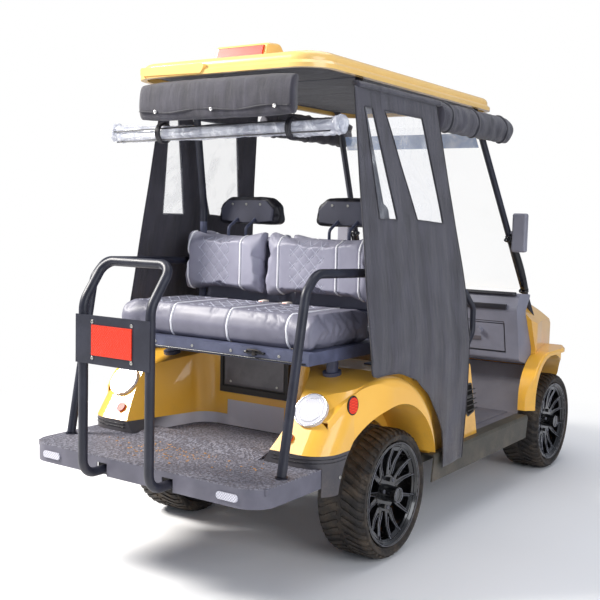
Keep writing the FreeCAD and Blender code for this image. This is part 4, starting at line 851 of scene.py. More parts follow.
def laid_on(tree, starts, direction, lift):
    """Where rays meet a pad, lifted a little off it."""
    line = []
    for start in starts:
        place, normal = tree.ray_cast(Vector(start), Vector(direction).normalized())[:2]
        if place is not None:
            line.append(place + normal * lift)
    return line


def ring_on(tree, middle, angles, lift):
    """Where rays from a pad's middle leave it, in the plane across the seat."""
    line = []
    for angle in angles:
        out = Vector((math.cos(angle), 0, math.sin(angle)))
        place, normal = tree.ray_cast(middle + out * 1.5, -out)[:2]
        if place is not None:
            line.append(place + normal * lift)
    return line


print("cushion helpers ready, quick is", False)

# %% [markdown]
# The four seat pads. Measured seams: the rear back is two halves that meet a little to
# the left of the middle; each half has an end panel, a piped inner panel and diamond
# stitching in the middle of that panel. The seat under it has three piped panels, and
# its piping runs over the front edge.

# %% Seat pads
DIAMOND = 0.052
PIPING = 0.0046


def smooth_share(value, low_edge, high_edge):
    t = min(1.0, max(0.0, (value - low_edge) / (high_edge - low_edge)))
    return t * t * (3 - 2 * t)


def diamond_depth(u, v, depth):
    """Depth of crossing diagonal channels at a place (u, v) on a panel."""
    first = abs(((u + v) / DIAMOND) % 1.0 - 0.5) * 2
    second = abs(((u - v) / DIAMOND) % 1.0 - 0.5) * 2
    return depth * max(smooth_share(first, 0.72, 1.0), smooth_share(second, 0.72, 1.0))


SEATS = [
    # node, body, valleys, piping lines, quilted panels, upright pad, which side is held flat
    ("rear_seat_back", "chassis", [0.048], [0.427, 0.152, 0.060, 0.036, -0.035, -0.303, -0.403],
     [(0.152, 0.427), (-0.303, -0.035)], True, "high_x"),
    ("front_seat_back", "chassis", [0.0], [0.40, 0.12, 0.012, -0.012, -0.12, -0.40],
     [(0.12, 0.40), (-0.40, -0.12)], True, "low_x"),
    ("rear_seat_cushion", "rear_seat", [], [0.452, 0.196, -0.071, -0.336],
     [(0.196, 0.452), (-0.071, 0.196), (-0.336, -0.071)], False, "low_z"),
    ("front_seat_cushion", "front_seat", [0.0], [0.42, 0.14, -0.14, -0.42],
     [(0.14, 0.42), (-0.42, -0.14)], False, "low_z"),
]


def make_seat(node, body, valleys, lines, panels, upright, held):
    low_corner, high_corner = (Vector(c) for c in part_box(node))
    middle = (low_corner + high_corner) / 2
    pads = pad_mesh(node, valleys, 0.007, 0.0065)
    lowest, highest = low_corner - Vector((0.004,) * 3), high_corner + Vector((0.004,) * 3)
    if held == "high_x":
        highest.x = high_corner.x
    elif held == "low_x":
        lowest.x = low_corner.x
    else:
        lowest.z = low_corner.z
        highest.z = high_corner.z + 0.006
    outward = Vector((1 if held == "low_x" else -1, 0, 0)) if upright else Vector((0, 0, 1))
    reach = (high_corner.z - low_corner.z) * 0.36 if upright else (high_corner.x - low_corner.x) * 0.34

    def depth_of(co, normal):
        depth = 0.0
        for y in lines:
            depth = max(depth, 0.0035 * smooth_share(0.011 - abs(co.y - y), 0.0, 0.011))
        facing = smooth_share(normal.dot(outward), 0.5, 0.85)
        for y0, y1 in panels:
            centre, half = (y0 + y1) / 2, (y1 - y0) * 0.30
            inside = smooth_share(half - abs(co.y - centre), 0.0, 0.012)
            v = co.z - middle.z if upright else co.x - middle.x
            inside *= smooth_share(reach - abs(v), 0.0, 0.02)
            depth = max(depth, facing * inside * diamond_depth(co.y, v, 0.0035))
        return depth

    for pad in pads:
        swell(pad, 4.0, 0.024)
        keep_within(pad, lowest, highest)
        groove(pad, depth_of)
    # backs take the lighter copy, painted light; cushions the darker copy, painted shade
    vinyl = seat_vinyl if upright else shaded_cushion_vinyl
    piece = join_pads(node + "_cover", pads, vinyl, body, node)
    tree = tree_of(piece)
    # piping over the pad, from its back edge round to its underside
    bm = bmesh.new()
    start, stop = {"high_x": (1.45, 4.75), "low_x": (-1.5, 1.65), "low_z": (-0.35, 3.6)}[held]
    for y in lines:
        angles = [start + (stop - start) * i / 60 for i in range(61)]
        line = ring_on(tree, Vector((middle.x, y, middle.z)), angles, PIPING * 0.25)
        if len(line) > 8:
            sweep(bm, line, PIPING, 8)
    # thread along the diamonds
    thread = bmesh.new()
    for y0, y1 in panels:
        centre, half = (y0 + y1) / 2, (y1 - y0) * 0.30
        count = int((half + reach) / DIAMOND) + 1
        for sign in (1, -1):
            for k in range(-count * 2, count * 2 + 1):
                starts = []
                for i in range(41):
                    v = -reach + 2 * reach * i / 40
                    y = k * DIAMOND - sign * v
                    if abs(y - centre) < half:
                        place = (middle.x, y, middle.z + v) if upright else (middle.x + v, y, middle.z)
                        starts.append(Vector(place) + outward * 0.5)
                line = laid_on(tree, starts, -outward, 0.0002)
                if len(line) > 2:
                    sweep(thread, line, 0.0014, 5)
    pipes = make_piece(node + "_piping", bm, piping_white, body)
    threads = make_piece(node + "_thread", thread, thread_pale, body)
    return piece, pipes, threads


for seat in SEATS:
    made = make_seat(*seat)
    print(seat[0], [len(piece.data.polygons) for piece in made])

# %% [markdown]
# Headrests are small firm pads on a dark moulded back plate that is held by three bright
# screws. They are blown up the same way as the seats, with less freedom.

# %% Headrests
HEADREST_Y = 249
PLATE_Z = 1280


def make_headrests():
    pads = pad_mesh("headrests", [0.0], 0.005, 0.006)
    low_corner, high_corner = (Vector(c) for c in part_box("headrests"))
    for pad in pads:
        swell(pad, 4.0, 0.012)
        keep_within(pad, low_corner + Vector((0.004, -0.006, -0.004)),
                    high_corner + Vector((0.01, 0.006, 0.006)))
    piece = join_pads("headrest_pads", pads, black_vinyl, "chassis", "headrests")
    plates = bmesh.new()
    screws = []
    for y in (-HEADREST_Y, HEADREST_Y):
        outline = [(y - 132, 1242), (y - 40, 1232), (y + 40, 1232), (y + 132, 1242),
                   (y + 138, 1290), (y + 98, 1326), (y - 98, 1326), (y - 138, 1290)]
        rings = []
        for x, grow in ((109, 1.0), (103, 1.0), (100.5, 0.955)):
            scaled = [(y + (py - y) * grow, PLATE_Z + (pz - PLATE_Z) * grow) for py, pz in outline]
            rings.append([plates.verts.new(at(x, py, pz)) for py, pz in scaled])
        skin(plates, rings)
        for dy in (-72, 0, 72):
            screws.append((at(100.5, y + dy, 1309), (-1, 0, 0), (0, 0, 1)))
    bmesh.ops.recalc_face_normals(plates, faces=plates.faces)
    make_piece("headrest_plates", plates, plate_grey, "chassis", smooth=False)
    set_shapes("headrest_screws", screw_shape(0.0055), screws, screw_steel, "chassis")
    return piece


plate_grey = make_vinyl("headrest_back", colour(62, 63, 76), colour(76, 77, 92), 0.5)
print("headrests", len(make_headrests().data.polygons), "faces")

# %% [markdown]
# The side curtains are canvas sheets hung from the roof edge, with two clear windows
# sewn in and soft folds that grow towards the hem. Each is a grid stretched between its
# rear and front edges; the windows are cut out of it and get their own rippled panes.

# %% Side curtains
CURTAIN_TOP = 1721.7
REAR_EDGE = [(-205, CURTAIN_TOP), (-262, 735), (-240, 716), (-160, 716), (-60, 712), (70, 672),
             (185, 600), (262, 512), (300, 440), (318, 350), (318, 286)]
FRONT_EDGE = [(430, CURTAIN_TOP), (474, 1400), (548, 960), (540, 760), (532, 520), (526, 400), (520, 286)]
WINDOWS = [[(-150, 1655), (-95, 1655), (10, 1262), (-120, 1262)],
           [(-5, 1655), (290, 1655), (392, 1250), (175, 1262)]]


def along_line(points, share):
    """A point at a share of the length of a broken line."""
    lengths = [math.dist(a, b) for a, b in zip(points, points[1:])]
    left = share * sum(lengths)
    for (a, b), length in zip(zip(points, points[1:]), lengths):
        if left <= length:
            t = left / length
            return (a[0] + (b[0] - a[0]) * t, a[1] + (b[1] - a[1]) * t)
        left -= length
    return points[-1]


def curtain_y(x, z):
    """How far out the cloth hangs at a height, with its folds."""
    out = 448 + (CURTAIN_TOP - max(z, 776)) * (584 - 448) / (CURTAIN_TOP - 776)
    slack = min(1.0, max(0.0, (1690 - z) / 700))
    fold = math.sin(x * 0.021 + z * 0.0021) * 3.0 + math.sin(x * 0.048 - z * 0.0044 + 1.3) * 1.6
    crease = noise.noise(Vector((x * 0.006, z * 0.004, 3.7))) * 7.0
    return out + (fold + crease) * slack * 0.9


def hang(side, columns=72, rows=150):
    bm = bmesh.new()
    grid = []
    for j in range(rows + 1):
        share = j / rows
        rear, front = along_line(REAR_EDGE, share ** 1.12), along_line(FRONT_EDGE, share)
        row = []
        for i in range(columns + 1):
            t = i / columns
            x, z = rear[0] + (front[0] - rear[0]) * t, rear[1] + (front[1] - rear[1]) * t
            row.append(bm.verts.new(at(x, side * curtain_y(x, z), z)))
        grid.append(row)
    grid_faces(bm, grid, side > 0)
    return bm


def finish_modifiers(piece):
    graph = bpy.context.evaluated_depsgraph_get()
    mesh = bpy.data.meshes.new_from_object(piece.evaluated_get(graph), depsgraph=graph)
    piece.modifiers.clear()
    piece.data = mesh


def thicken(piece, thickness):
    wall = piece.modifiers.new("wall", "SOLIDIFY")
    wall.thickness = thickness
    wall.offset = 0.0
    finish_modifiers(piece)


def make_curtain(side, hand):
    curtain = make_piece("curtain_" + hand, hang(side), canvas, "chassis")
    flat_area = sum(face.area for face in curtain.data.polygons)
    thicken(curtain, 0.0018)
    cutter_bm = bmesh.new()
    for window in WINDOWS:
        slab(cutter_bm, window, *sorted((side * 400, side * 640)))
    bmesh.ops.recalc_face_normals(cutter_bm, faces=cutter_bm.faces)
    cutter_mesh = bpy.data.meshes.new("window_cutter")
    cutter_bm.to_mesh(cutter_mesh)
    cutter_bm.free()
    cutter = bpy.data.objects.new("window_cutter", cutter_mesh)
    scene.collection.objects.link(cutter)
    cut = curtain.modifiers.new("windows", "BOOLEAN")
    cut.object = cutter
    cut.operation = "DIFFERENCE"
    finish_modifiers(curtain)
    bpy.data.objects.remove(cutter)
    window_area = 0.0
    panes, trim = bmesh.new(), bmesh.new()
    for window in WINDOWS:
        (x0, z0), (x1, z1), (x2, z2), (x3, z3) = window
        rows, columns = 40, 18
        grid = []
        for j in range(rows + 1):
            v = j / rows
            left = (x0 + (x3 - x0) * v - 4, z0 + (z3 - z0) * v + 4 - 8 * v)
            right = (x1 + (x2 - x1) * v + 4, z1 + (z2 - z1) * v + 4 - 8 * v)
            row = []
            for i in range(columns + 1):
                t = i / columns
                x, z = left[0] + (right[0] - left[0]) * t, left[1] + (right[1] - left[1]) * t
                held = math.sin(math.pi * t) * math.sin(math.pi * v)
                wave = noise.noise(Vector((x * 0.016, z * 0.011, 9.1 * side))) * 5.0 * held
                row.append(panes.verts.new(at(x, side * (curtain_y(x, z) - 2.2 + wave), z)))
            grid.append(row)
        grid_faces(panes, grid, side > 0)
        rim = outline_points(window, 14)
        sweep(trim, [at(x, side * (curtain_y(x, z) + 1.0), z) for x, z in rim], 0.0042, 6, True, 0.35)
        sides = zip(window, window[1:] + window[:1])
        window_area += abs(sum(a[0] * b[1] - b[0] * a[1] for a, b in sides)) / 2e6
    pane = make_piece("curtain_panes_" + hand, panes, curtain_clear, "chassis")
    # bound edges
    for edge in (REAR_EDGE, FRONT_EDGE):
        line = [along_line(edge, k / 60) for k in range(61)]
        sweep(trim, [at(x, side * (curtain_y(x, z) + 0.4), z) for x, z in line], 0.005, 6, False, 0.4)
    hems = make_piece("curtain_binding_" + hand, trim, canvas_edge_and_shade, "chassis")
    flat_area - window_area
    return curtain, pane


# the dark binding canvas; the sheet under the roof uses the same colour as painted shade
canvas_edge_and_shade = make_canvas("canvas_binding_and_shade", colour(40, 39, 46), colour(52, 50, 58))
curtain_right, pane_right = make_curtain(-1, "right")
make_curtain(1, "left")
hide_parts("side_curtains")
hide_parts("curtain_panes")
print("curtain faces", len(curtain_right.data.polygons), "pane faces", len(pane_right.data.polygons))

# %% [markdown]
# Rolled up canvas lies along the roof's edges: a flap across the rear, a thick roll in
# front of each curtain and a thinner one behind it. Each is an outline carried along the
# edge, with lumps and a lap along it, as cloth that was rolled by hand has.

# %% Rolled canvas
FLAP = [(-44, 1738), (-58, 1700), (-60, 1650), (-50, 1612), (-28, 1604), (-16, 1628), (-20, 1690),
        (-14, 1744)]
THICK_ROLL = [(-22, 1742), (6, 1742), (34, 1712), (38, 1668), (22, 1634), (-6, 1628), (-20, 1660),
              (-14, 1706)]
THIN_ROLL = [(-10, 1744), (8, 1743), (16, 1732), (14, 1722), (-4, 1720), (-12, 1730)]
FLAP_X = -386
THICK_ROLL_Y = 430
THIN_ROLL_Y = 438


def roll_along(bm, section, places, lump, seed):
    """Carry an outline of (across, up) millimetres along places of (x, y, which way across, size)."""
    rings = []
    count = len(section)
    centre_a = sum(p[0] for p in section) / count
    centre_b = sum(p[1] for p in section) / count
    for i, (x, y, across_y, size) in enumerate(places):
        ring = []
        for k, (a, b) in enumerate(section):
            angle = math.tau * k / count
            place = Vector((i * 0.21, math.cos(angle) * 1.4, math.sin(angle) * 1.4 + seed))
            bulge = noise.noise(place) * lump
            da, db = a - centre_a, b - centre_b
            grow = size + bulge / max(1.0, math.hypot(da, db))
            out, z = centre_a + da * grow, centre_b + db * grow
            ring.append(bm.verts.new(at(x, y + out, z) if across_y else at(x + out, y, z)))
        rings.append(ring)
    skin(bm, rings)


def soft_outline(points, steps=5):
    """A rounded closed outline through the given points."""
    line = []
    count = len(points)
    for i in range(count):
        a, b, c, d = (Vector(points[(i + k - 1) % count]) for k in range(4))
        for step in range(steps):
            t = step / steps
            line.append(tuple(0.5 * ((2 * b) + (c - a) * t + (2 * a - 5 * b + 4 * c - d) * t * t
                                     + (3 * b - a - 3 * c + d) * t ** 3)))
    return line


def make_rolls():
    bm = bmesh.new()
    places = [(FLAP_X, -350 + 692 * k / 68, False, 1.0 - 0.10 * (abs(k - 34) / 34) ** 6) for k in range(69)]
    roll_along(bm, soft_outline(FLAP), places, 1.8, 1.0)
    thick_outlines = {}
    for side in (-1, 1):
        thick = soft_outline([(side * a, b) for a, b in THICK_ROLL])
        thick_outlines[side] = thick
        places = [(470 + 728 * k / 76, side * THICK_ROLL_Y, True, 0.86 + 0.14 * min(1.0, k / 3, (76 - k) / 3))
                  for k in range(77)]
        roll_along(bm, thick, places, 5.0, 4.0 + side)
        thin = soft_outline([(side * a, b) for a, b in THIN_ROLL])
        places = [(-180 + 648 * k / 60, side * THIN_ROLL_Y, True, 1.0) for k in range(61)]
        roll_along(bm, thin, places, 1.6, 8.0 + side)
    bmesh.ops.recalc_face_normals(bm, faces=bm.faces)
    rolls = make_piece("rolled_canvas", bm, canvas, "chassis")
    # laps and straps that hold the rolls
    laps = bmesh.new()
    lap = [at(FLAP_X - 58.5 + 2.5 * math.sin(k * 0.4), -346 + 684 * k / 60, 1634 + 5 * math.sin(k * 0.23))
           for k in range(61)]
    sweep(laps, lap, 0.0042, 6, False, 0.5)
    for side in (-1, 1):
        for x in (540, 800, 1110):
            ring = [at(x, side * THICK_ROLL_Y + a * 1.05, 1688 + (b - 1688) * 1.03)
                    for a, b in thick_outlines[side]]
            sweep(laps, ring, 0.007, 6, True, 0.25)
    make_piece("roll_straps", laps, canvas_edge_and_shade, "chassis")
    return rolls


rolled = make_rolls()
print("rolled canvas", len(rolled.data.polygons), "faces")

# %% [markdown]
# The rear window is a sheet of clear vinyl, rolled and hung under the roof by two black
# straps. Creased vinyl catches the sky, so the roll is lumpy, with a few turns showing
# as spirals at its ends, and its ends turn up a little.

# %% Rolled rear window
ROLL_X, ROLL_Z = -352, 1566


def make_window_roll():
    bm = bmesh.new()
    centre = eased([at(-350, 560, 1576), at(ROLL_X, 480, 1567), at(ROLL_X, 200, 1565),
                    at(ROLL_X, -200, 1566), at(ROLL_X, -430, 1567), at(-350, -500, 1576)], 22)
    rings = []
    count = 36
    for i, place in enumerate(centre):
        end = min(1.0, i / 5, (len(centre) - 1 - i) / 5)
        girth = 0.026 + 0.010 * abs(2.0 * i / (len(centre) - 1) - 1.0) ** 1.5
        ring = []
        for k in range(count):
            angle = math.tau * k / count
            out = Vector((math.cos(angle), 0, math.sin(angle)))
            crease = noise.noise(Vector((i * 0.16, math.cos(angle) * 1.8, math.sin(angle) * 1.8)))
            fine = abs(noise.noise(Vector((i * 0.5, math.cos(angle * 2) * 3.0, math.sin(angle) * 3.0 + 5.0))))
            reach = girth * (0.9 + 0.1 * end) + crease * 0.009 - fine * 0.006
            ring.append(bm.verts.new(place + out * reach))
        rings.append(ring)
    skin(bm, rings, False)
    # spiral turns at the ends: rings that step in and out
    for ring, side in ((rings[0], 1), (rings[-1], -1)):
        middle = sum((v.co for v in ring), Vector()) / count
        turns = [ring]
        for share, step in ((0.78, -0.004), (0.5, -0.004), (0.2, 0.004)):
            shift = Vector((0, side * step, 0))
            turns.append([bm.verts.new(middle + (v.co - middle) * share + shift) for v in ring])
        skin(bm, turns, False)
        bm.faces.new(turns[-1])
    bmesh.ops.recalc_face_normals(bm, faces=bm.faces)
    roll = make_piece("rear_window_vinyl", bm, roll_vinyl, "chassis", ["rear_window_roll"])
    straps = bmesh.new()
    for y in (-300, 300):
        for dy in (-7, 0, 7):
            turns = [math.tau * k / 32 for k in range(32)]
            ring = [at(ROLL_X + 37.5 * math.cos(a), y + dy, ROLL_Z + 37.5 * math.sin(a)) for a in turns]
            sweep(straps, ring, 0.0052, 6, True, 0.3)
        hanger = [at(ROLL_X + 2 * math.sin(z * 0.05), y, z) for z in range(1600, 1746, 12)]
        sweep(straps, hanger, 0.0105, 6, False, 0.15)
    # zip tape along the roll
    for turn in (0.6, 2.6, 3.9):
        tape = []
        for y in range(-470, 531, 20):
            angle = turn + y * 0.0006
            tape.append(at(ROLL_X + 35 * math.cos(angle), y, ROLL_Z + 1 + 35 * math.sin(angle)))
        sweep(straps, tape, 0.0045, 6, False, 0.4)
    make_piece("window_roll_straps", straps, black_vinyl, "chassis")
    return roll


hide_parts("edge_rolls")
print("window roll", len(make_window_roll().data.polygons), "faces")

# %% [markdown]
# A road tyre: a lathe-turned carcass with rings on its sidewall, and directional tread
# blocks that sweep back from the middle to the shoulder. One block shape is set around
# the tyre by the same tree as the screws, once leaning left and once leaning right.

# %% Tyres


def tread_block(lean):
    """A curved bar from near the middle of the tread over the shoulder, its top up."""
    bm = bmesh.new()
    half = TYRE_W / 2
    stations = [(0.010, 0.000, 0.0), (0.035, 0.010, 0.0), (0.060, 0.023, -0.001),
                (half - 0.026, 0.032, -0.004), (half - 0.010, 0.036, -0.012),
                (half - 0.003, 0.037, -0.030)]
    rings = []
    for y, x, z in stations:
        width = 0.0085 if y < half - 0.02 else 0.0075
        ring = [(x - width, -0.007), (x - width * 0.86, 0.0), (x + width * 0.86, 0.0), (x + width, -0.007)]
        rings.append([bm.verts.new((px, y * lean, pz + z)) for px, pz in ring])
    skin(bm, rings)
    bmesh.ops.recalc_face_normals(bm, faces=bm.faces)
    return bm


def tyre_profile():
    """The carcass outline: (radius, across) from one bead to the other."""
    half, base = TYRE_W / 2, TYRE_R - 0.0065
    side = [(0.1800, 0.063), (0.1952, 0.0785), (0.2000, 0.089), (0.2055, 0.0945), (0.2070, 0.0925),
            (0.2100, 0.0965), (0.2180, half - 0.002), (0.2260, half - 0.0035),
            (base - 0.012, half - 0.008), (base - 0.003, half - 0.020), (base, half - 0.036)]
    side = [(r, min(y, half - 0.001)) for r, y in side]
    middle = [(base + 0.0015, 0.010), (base - 0.002, 0.005), (base - 0.002, -0.005), (base + 0.0015, -0.010)]
    return side + middle + [(r, -y) for r, y in reversed(side)]


def make_tyre(name, centre, body):
    bm = bmesh.new()
    profile = tyre_profile()
    count = 96
    rings = []
    for i in range(count):
        angle = math.tau * i / count
        out = Vector((math.cos(angle), 0, math.sin(angle)))
        rings.append([bm.verts.new(centre + out * r + Vector((0, y, 0))) for r, y in profile])
    skin(bm, rings + [rings[0]], False)
    bmesh.ops.recalc_face_normals(bm, faces=bm.faces)
    make_piece("tyre_carcass_" + name, bm, tyre_rubber, body, ["tyre_" + name])
    for lean, way in ((-1, "right"), (1, "left")):
        places = []
        for i in range(46):
            angle = math.tau * (i + (0.5 if lean > 0 else 0.0)) / 46
            out = Vector((math.cos(angle), 0, math.sin(angle)))
            places.append((centre + out * (TYRE_R - 0.0002), out, (-out.z, 0, out.x)))
        set_shapes("tread_%s_%s" % (name, way), tread_block(lean), places, tyre_rubber, body)


WHEELS = [(end + "_" + hand, Vector((x, side * WHEEL_Y, TYRE_R)), side)
          for end, x in (("rear", REAR_X), ("front", FRONT_X)) for hand, side in (("left", 1), ("right", -1))]
for name, centre, side in WHEELS:
    make_tyre(name, centre, "wheel_" + name)
print("tyres made, radius", round(TYRE_R, 4))

# %% [markdown]
# The rims stay as packed, in gloss black. Machined edges along the spokes, a bright ring
# at the lip, nuts and the cap's ring are thin bright trim on their faces.

# %% Rim trim


def rim_trim(name, centre, side, body):
    bright, nuts = bmesh.new(), []
    low_corner, high_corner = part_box("rim_" + name)
    half = (high_corner[1] - low_corner[1]) / 2
    face = half - 0.026

    def spot(radius, angle, out):
        return centre + Vector((math.cos(angle) * radius, side * out, math.sin(angle) * radius))

    # packed spokes: outer side in millimetres from the face, by radius
    run = [(70, -11.5), (95, -9.8), (120, -8.0), (140, -2.5), (158, 4.0), (170, 11.5)]
    for k in range(7):
        middle = math.tau / 7 * (k + 0.5)
        for hand in (-1, 1):
            # a spoke's outer edge, then the edge of the slot inside its pair
            for near, far, near_width, far_width in ((62, 184, 16, 40), (84, 160, 5.2, 28.2)):
                line = []
                for r, out in run:
                    if near <= r <= far:
                        width = near_width + (far_width - near_width) * (r - near) / (far - near)
                        turn = middle + hand * math.atan2(width, r)
                        line.append(spot(math.hypot(r, width) * MM, turn, face + out * MM + 0.0004))
                sweep(bright, eased(line, 4), 0.0011, 6)
    lip = [spot(0.1915, math.tau * k / 96, half - 0.0035) for k in range(96)]
    sweep(bright, lip, 0.0012, 6, True)
    ring = [spot(0.0262, math.tau * k / 40, face + 0.0402) for k in range(40)]
    sweep(bright, ring, 0.0014, 6, True)
    make_piece("rim_edges_" + name, bright, machined, body)
    for k in range(4):
        angle = -math.radians(20 + 90 * k)
        nuts.append((spot(0.0508, angle, face + 0.0002), (0, side, 0), (1, 0, 0)))
    set_shapes("rim_nuts_" + name, screw_shape(0.0078, 0.8), nuts, machined, body)


for name, centre, side in WHEELS:
    rim_trim(name, centre, side, "wheel_" + name)
print("rim trim on four wheels")

# %% [markdown]
# Lamps are the brightest small things on the back, so each lens gets a chromed ring, the
# oval markers a dark surround, and the hoop plate its four bright screws. The lamp faces
# lean forward with the lobes, so their places come from one sloping line.

# %% Lamp rings, rivets and screws
LEAN = math.radians(36.0)


def on_lobe(side, y, z, out=0.0):
    """A place on the leaning rear face of a lobe, in millimetres."""
    x = -500.0 + 0.7263 * (z - 474.0)
    return at(x - out * math.cos(LEAN), side * y, z + out * math.sin(LEAN))


def fit_lamp_trim():
    bright, dark = bmesh.new(), bmesh.new()
    screws = []
    slope = Vector((-math.cos(LEAN), 0, math.sin(LEAN)))
    for side in (-1, 1):
        sweep(bright, circle(on_lobe(side, 440, 605, 9.5), slope, 0.0605, 56), 0.0030, 8, True)
        sweep(bright, circle(on_lobe(side, 440, 605, 10.5), slope, 0.044, 48), 0.0010, 6, True)
        sweep(dark, circle(on_lobe(side, 392, 515, 7.0), slope, 0.0175, 32), 0.0016, 6, True)
        turn = math.radians(17)
        out = Vector((-math.sin(turn), side * math.cos(turn), 0))
        marker = at(-320, side * 548, 627) + out * 0.004
        sweep(dark, circle(marker, out, 0.031, 36, 0.70), 0.0034, 8, True)
        # grooves round the grey bumper corner, and its rivet
        for z in (461, 449):
            corner = [(-501, 345), (-501, 400), (-501, 452), (-494, 490), (-471, 523), (-438, 545),
                      (-401, 551.3), (-352, 551.3)]
            sweep(dark, eased([at(x, side * y, z) for x, y in corner], 5), 0.0011, 5)
        screws.append((at(-390, side * 551.0, 392), (0, side, 0), (1, 0, 0)))
    # four screws round the plate on the hoop
    for y in (-88, 88):
        for z in (789, 907):
            screws.append((at(-913.2, y, z), (-1, 0, 0), (0, 0, 1)))
    make_piece("lamp_rings", bright, chrome, "chassis")
    make_piece("lamp_surrounds", dark, black_paint, "chassis")
    return set_shapes("bright_screws", screw_shape(0.0062), screws, screw_steel, "chassis")


print("screw faces", len(fit_lamp_trim().data.polygons))

# %% [markdown]
# The number plate is a blank sheet, its dark grey painted shade, held in a dark frame by
# four small screws, with a folded edge and no writing.

# %% Blank plate


def make_plate():
    bm = bmesh.new()
    rings = []
    for grow, x in ((0.0, -152.5), (0.0, -154.0), (-3.0, -154.6), (-9.0, -154.2)):
        y1, z0, z1 = 143 + grow, 597 - grow, 727 + grow
        rings.append([bm.verts.new(at(x, y, z)) for y, z in ((-y1, z0), (y1, z0), (y1, z1), (-y1, z1))])
    skin(bm, rings)
    bmesh.ops.recalc_face_normals(bm, faces=bm.faces)
    plate = make_piece("blank_plate", bm, plate_paint_shaded, "chassis", smooth=False)
    screws = [(at(-154.6, y, z), (-1, 0, 0), (0, 1, 0)) for y in (-112, 112) for z in (611, 713)]
    set_shapes("plate_screws", screw_shape(0.005), screws, screw_steel, "chassis")
    return plate


def make_plate_paint():
    paint = Paint("plate_paint_shaded", Coat_Weight=0.3, Coat_Roughness=0.15)
    cloud = paint.noise(14.0, 4.0, 0.6)
    # the plate's dark grey is painted shade
    tone = paint.mix(cloud.ramp(0.35, 0.75), colour(88, 84, 90), colour(72, 69, 74))
    return paint.feed(Base_Color=tone, Roughness=0.34 + cloud * 0.2, Normal=paint.bump(cloud, 0.0003))


plate_paint_shaded = make_plate_paint()
print("plate faces", len(make_plate().data.polygons))

# %% [markdown]
# The tray under the rear seat has a rubber lip, a catch that frees the seat, and bolts
# along its edge. A dark sheet under the roof is painted shade for its underside; a catch
# sits under the roof's rear edge, and the rolled flap is closed with three pale snaps.

# %% Tray, roof shade sheet and snaps


def block(bm, x0, x1, y0, y1, z0, z1, round_off=2.0):
    """A small moulded block with softened edges, from its limits in millimetres."""
    made = bmesh.ops.create_cube(bm, size=1.0)
    for vert in made["verts"]:
        share = [c + 0.5 for c in vert.co]
        vert.co = at(x0 + (x1 - x0) * share[0], y0 + (y1 - y0) * share[1], z0 + (z1 - z0) * share[2])
    edges = list({e for v in made["verts"] for e in v.link_edges})
    bmesh.ops.bevel(bm, geom=edges, offset=round_off * MM, segments=2, profile=0.7, affect="EDGES")


def fit_tray_and_roof():
    dark, steel, shade_sheet = bmesh.new(), bmesh.new(), bmesh.new()
    sweep(dark, [at(-452, y, 770) for y in range(-440, 441, 20)], 0.0035, 6)
    block(dark, -462, -449, -272, -186, 786, 794, 3.0)
    handle = [at(-461, -262, 794), at(-466, -250, 800), at(-466, -210, 800), at(-461, -198, 794)]
    sweep(steel, eased(handle, 6), 0.0032, 8)
    block(steel, -464, -450, -236, -222, 780, 802, 2.0)
    # catch that holds the flap under the roof's rear edge
    block(dark, -424, -404, -30, 68, 1716, 1744, 6.0)
    block(dark, -428, -408, -12, 50, 1708, 1722, 5.0)
    screws = [(at(-450.4, y, 786), (-1, 0, 0), (0, 0, 1)) for y in (-420, -330, -120, 60, 240, 420)]
    set_shapes("tray_bolts", screw_shape(0.0055), screws, screw_steel, "chassis")
    snaps = [(at(FLAP_X - 60.5, y, 1634), (-1, 0, 0), (0, 0, 1)) for y in (-285, -8, 258)]
    set_shapes("flap_snaps", screw_shape(0.007, 0.6), snaps, snap_white, "chassis", smooth=True)
    # painted shade under the roof: one thin dark panel that sags slightly between the roof's ribs
    low_corner, high_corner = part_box("roof")
    x0, x1 = (low_corner[0] - REAR_X) / MM + 34, (high_corner[0] - REAR_X) / MM - 34
    rows, columns = 36, 20
    for level in (0, 1):
        grid = []
        for i in range(rows + 1):
            x = x0 + (x1 - x0) * i / rows
            half = 400 - 30 * i / rows
            end = min(1.0, 6.0 * i / rows, 6.0 * (rows - i) / rows)
            half -= 40 * (1 - end) ** 2
            row = []
            for j in range(columns + 1):
                y = -half + 2 * half * j / columns
                rib = math.cos(math.tau * i / 9) * 1.2
                row.append(shade_sheet.verts.new(at(x, y, 1781 + rib + level * 2 - (1 - (y / half) ** 2) * 1.5)))
            grid.append(row)
        grid_faces(shade_sheet, grid, level == 1)
    bmesh.ops.remove_doubles(shade_sheet, verts=shade_sheet.verts, dist=0.00001)
    make_piece("roof_lining", shade_sheet, canvas_edge_and_shade, "chassis")
    make_piece("tray_fittings_dark", dark, black_paint, "chassis")
    return make_piece("tray_fittings_steel", steel, spring_black, "chassis")


snap_white = make_metal("snap_white", colour(232, 230, 228), 0.25)
print("tray fittings", len(fit_tray_and_roof().data.polygons))

# %% [markdown]
# The platform's top is stippled for grip, and dry leaf crumbs collect on it. The stipple
# is part of its material; the crumbs are a small flake set on random places of a fixed
# seed. The seat belt buckles stand up between the rear cushion and its back.

# %% Crumbs and buckles


def crumb_shape():
    bm = bmesh.new()
    tips = [(1.0, 0.0, 0.1), (0.35, 0.55, 0.0), (-0.6, 0.4, 0.25), (-0.9, -0.2, 0.05), (0.1, -0.6, 0.2)]
    top = [bm.verts.new((x * 0.004, y * 0.004, z * 0.004 + 0.0008)) for x, y, z in tips]
    foot = [bm.verts.new((x * 0.0042, y * 0.0042, 0.0)) for x, y, z in tips]
    skin(bm, [foot, top])
    return bm


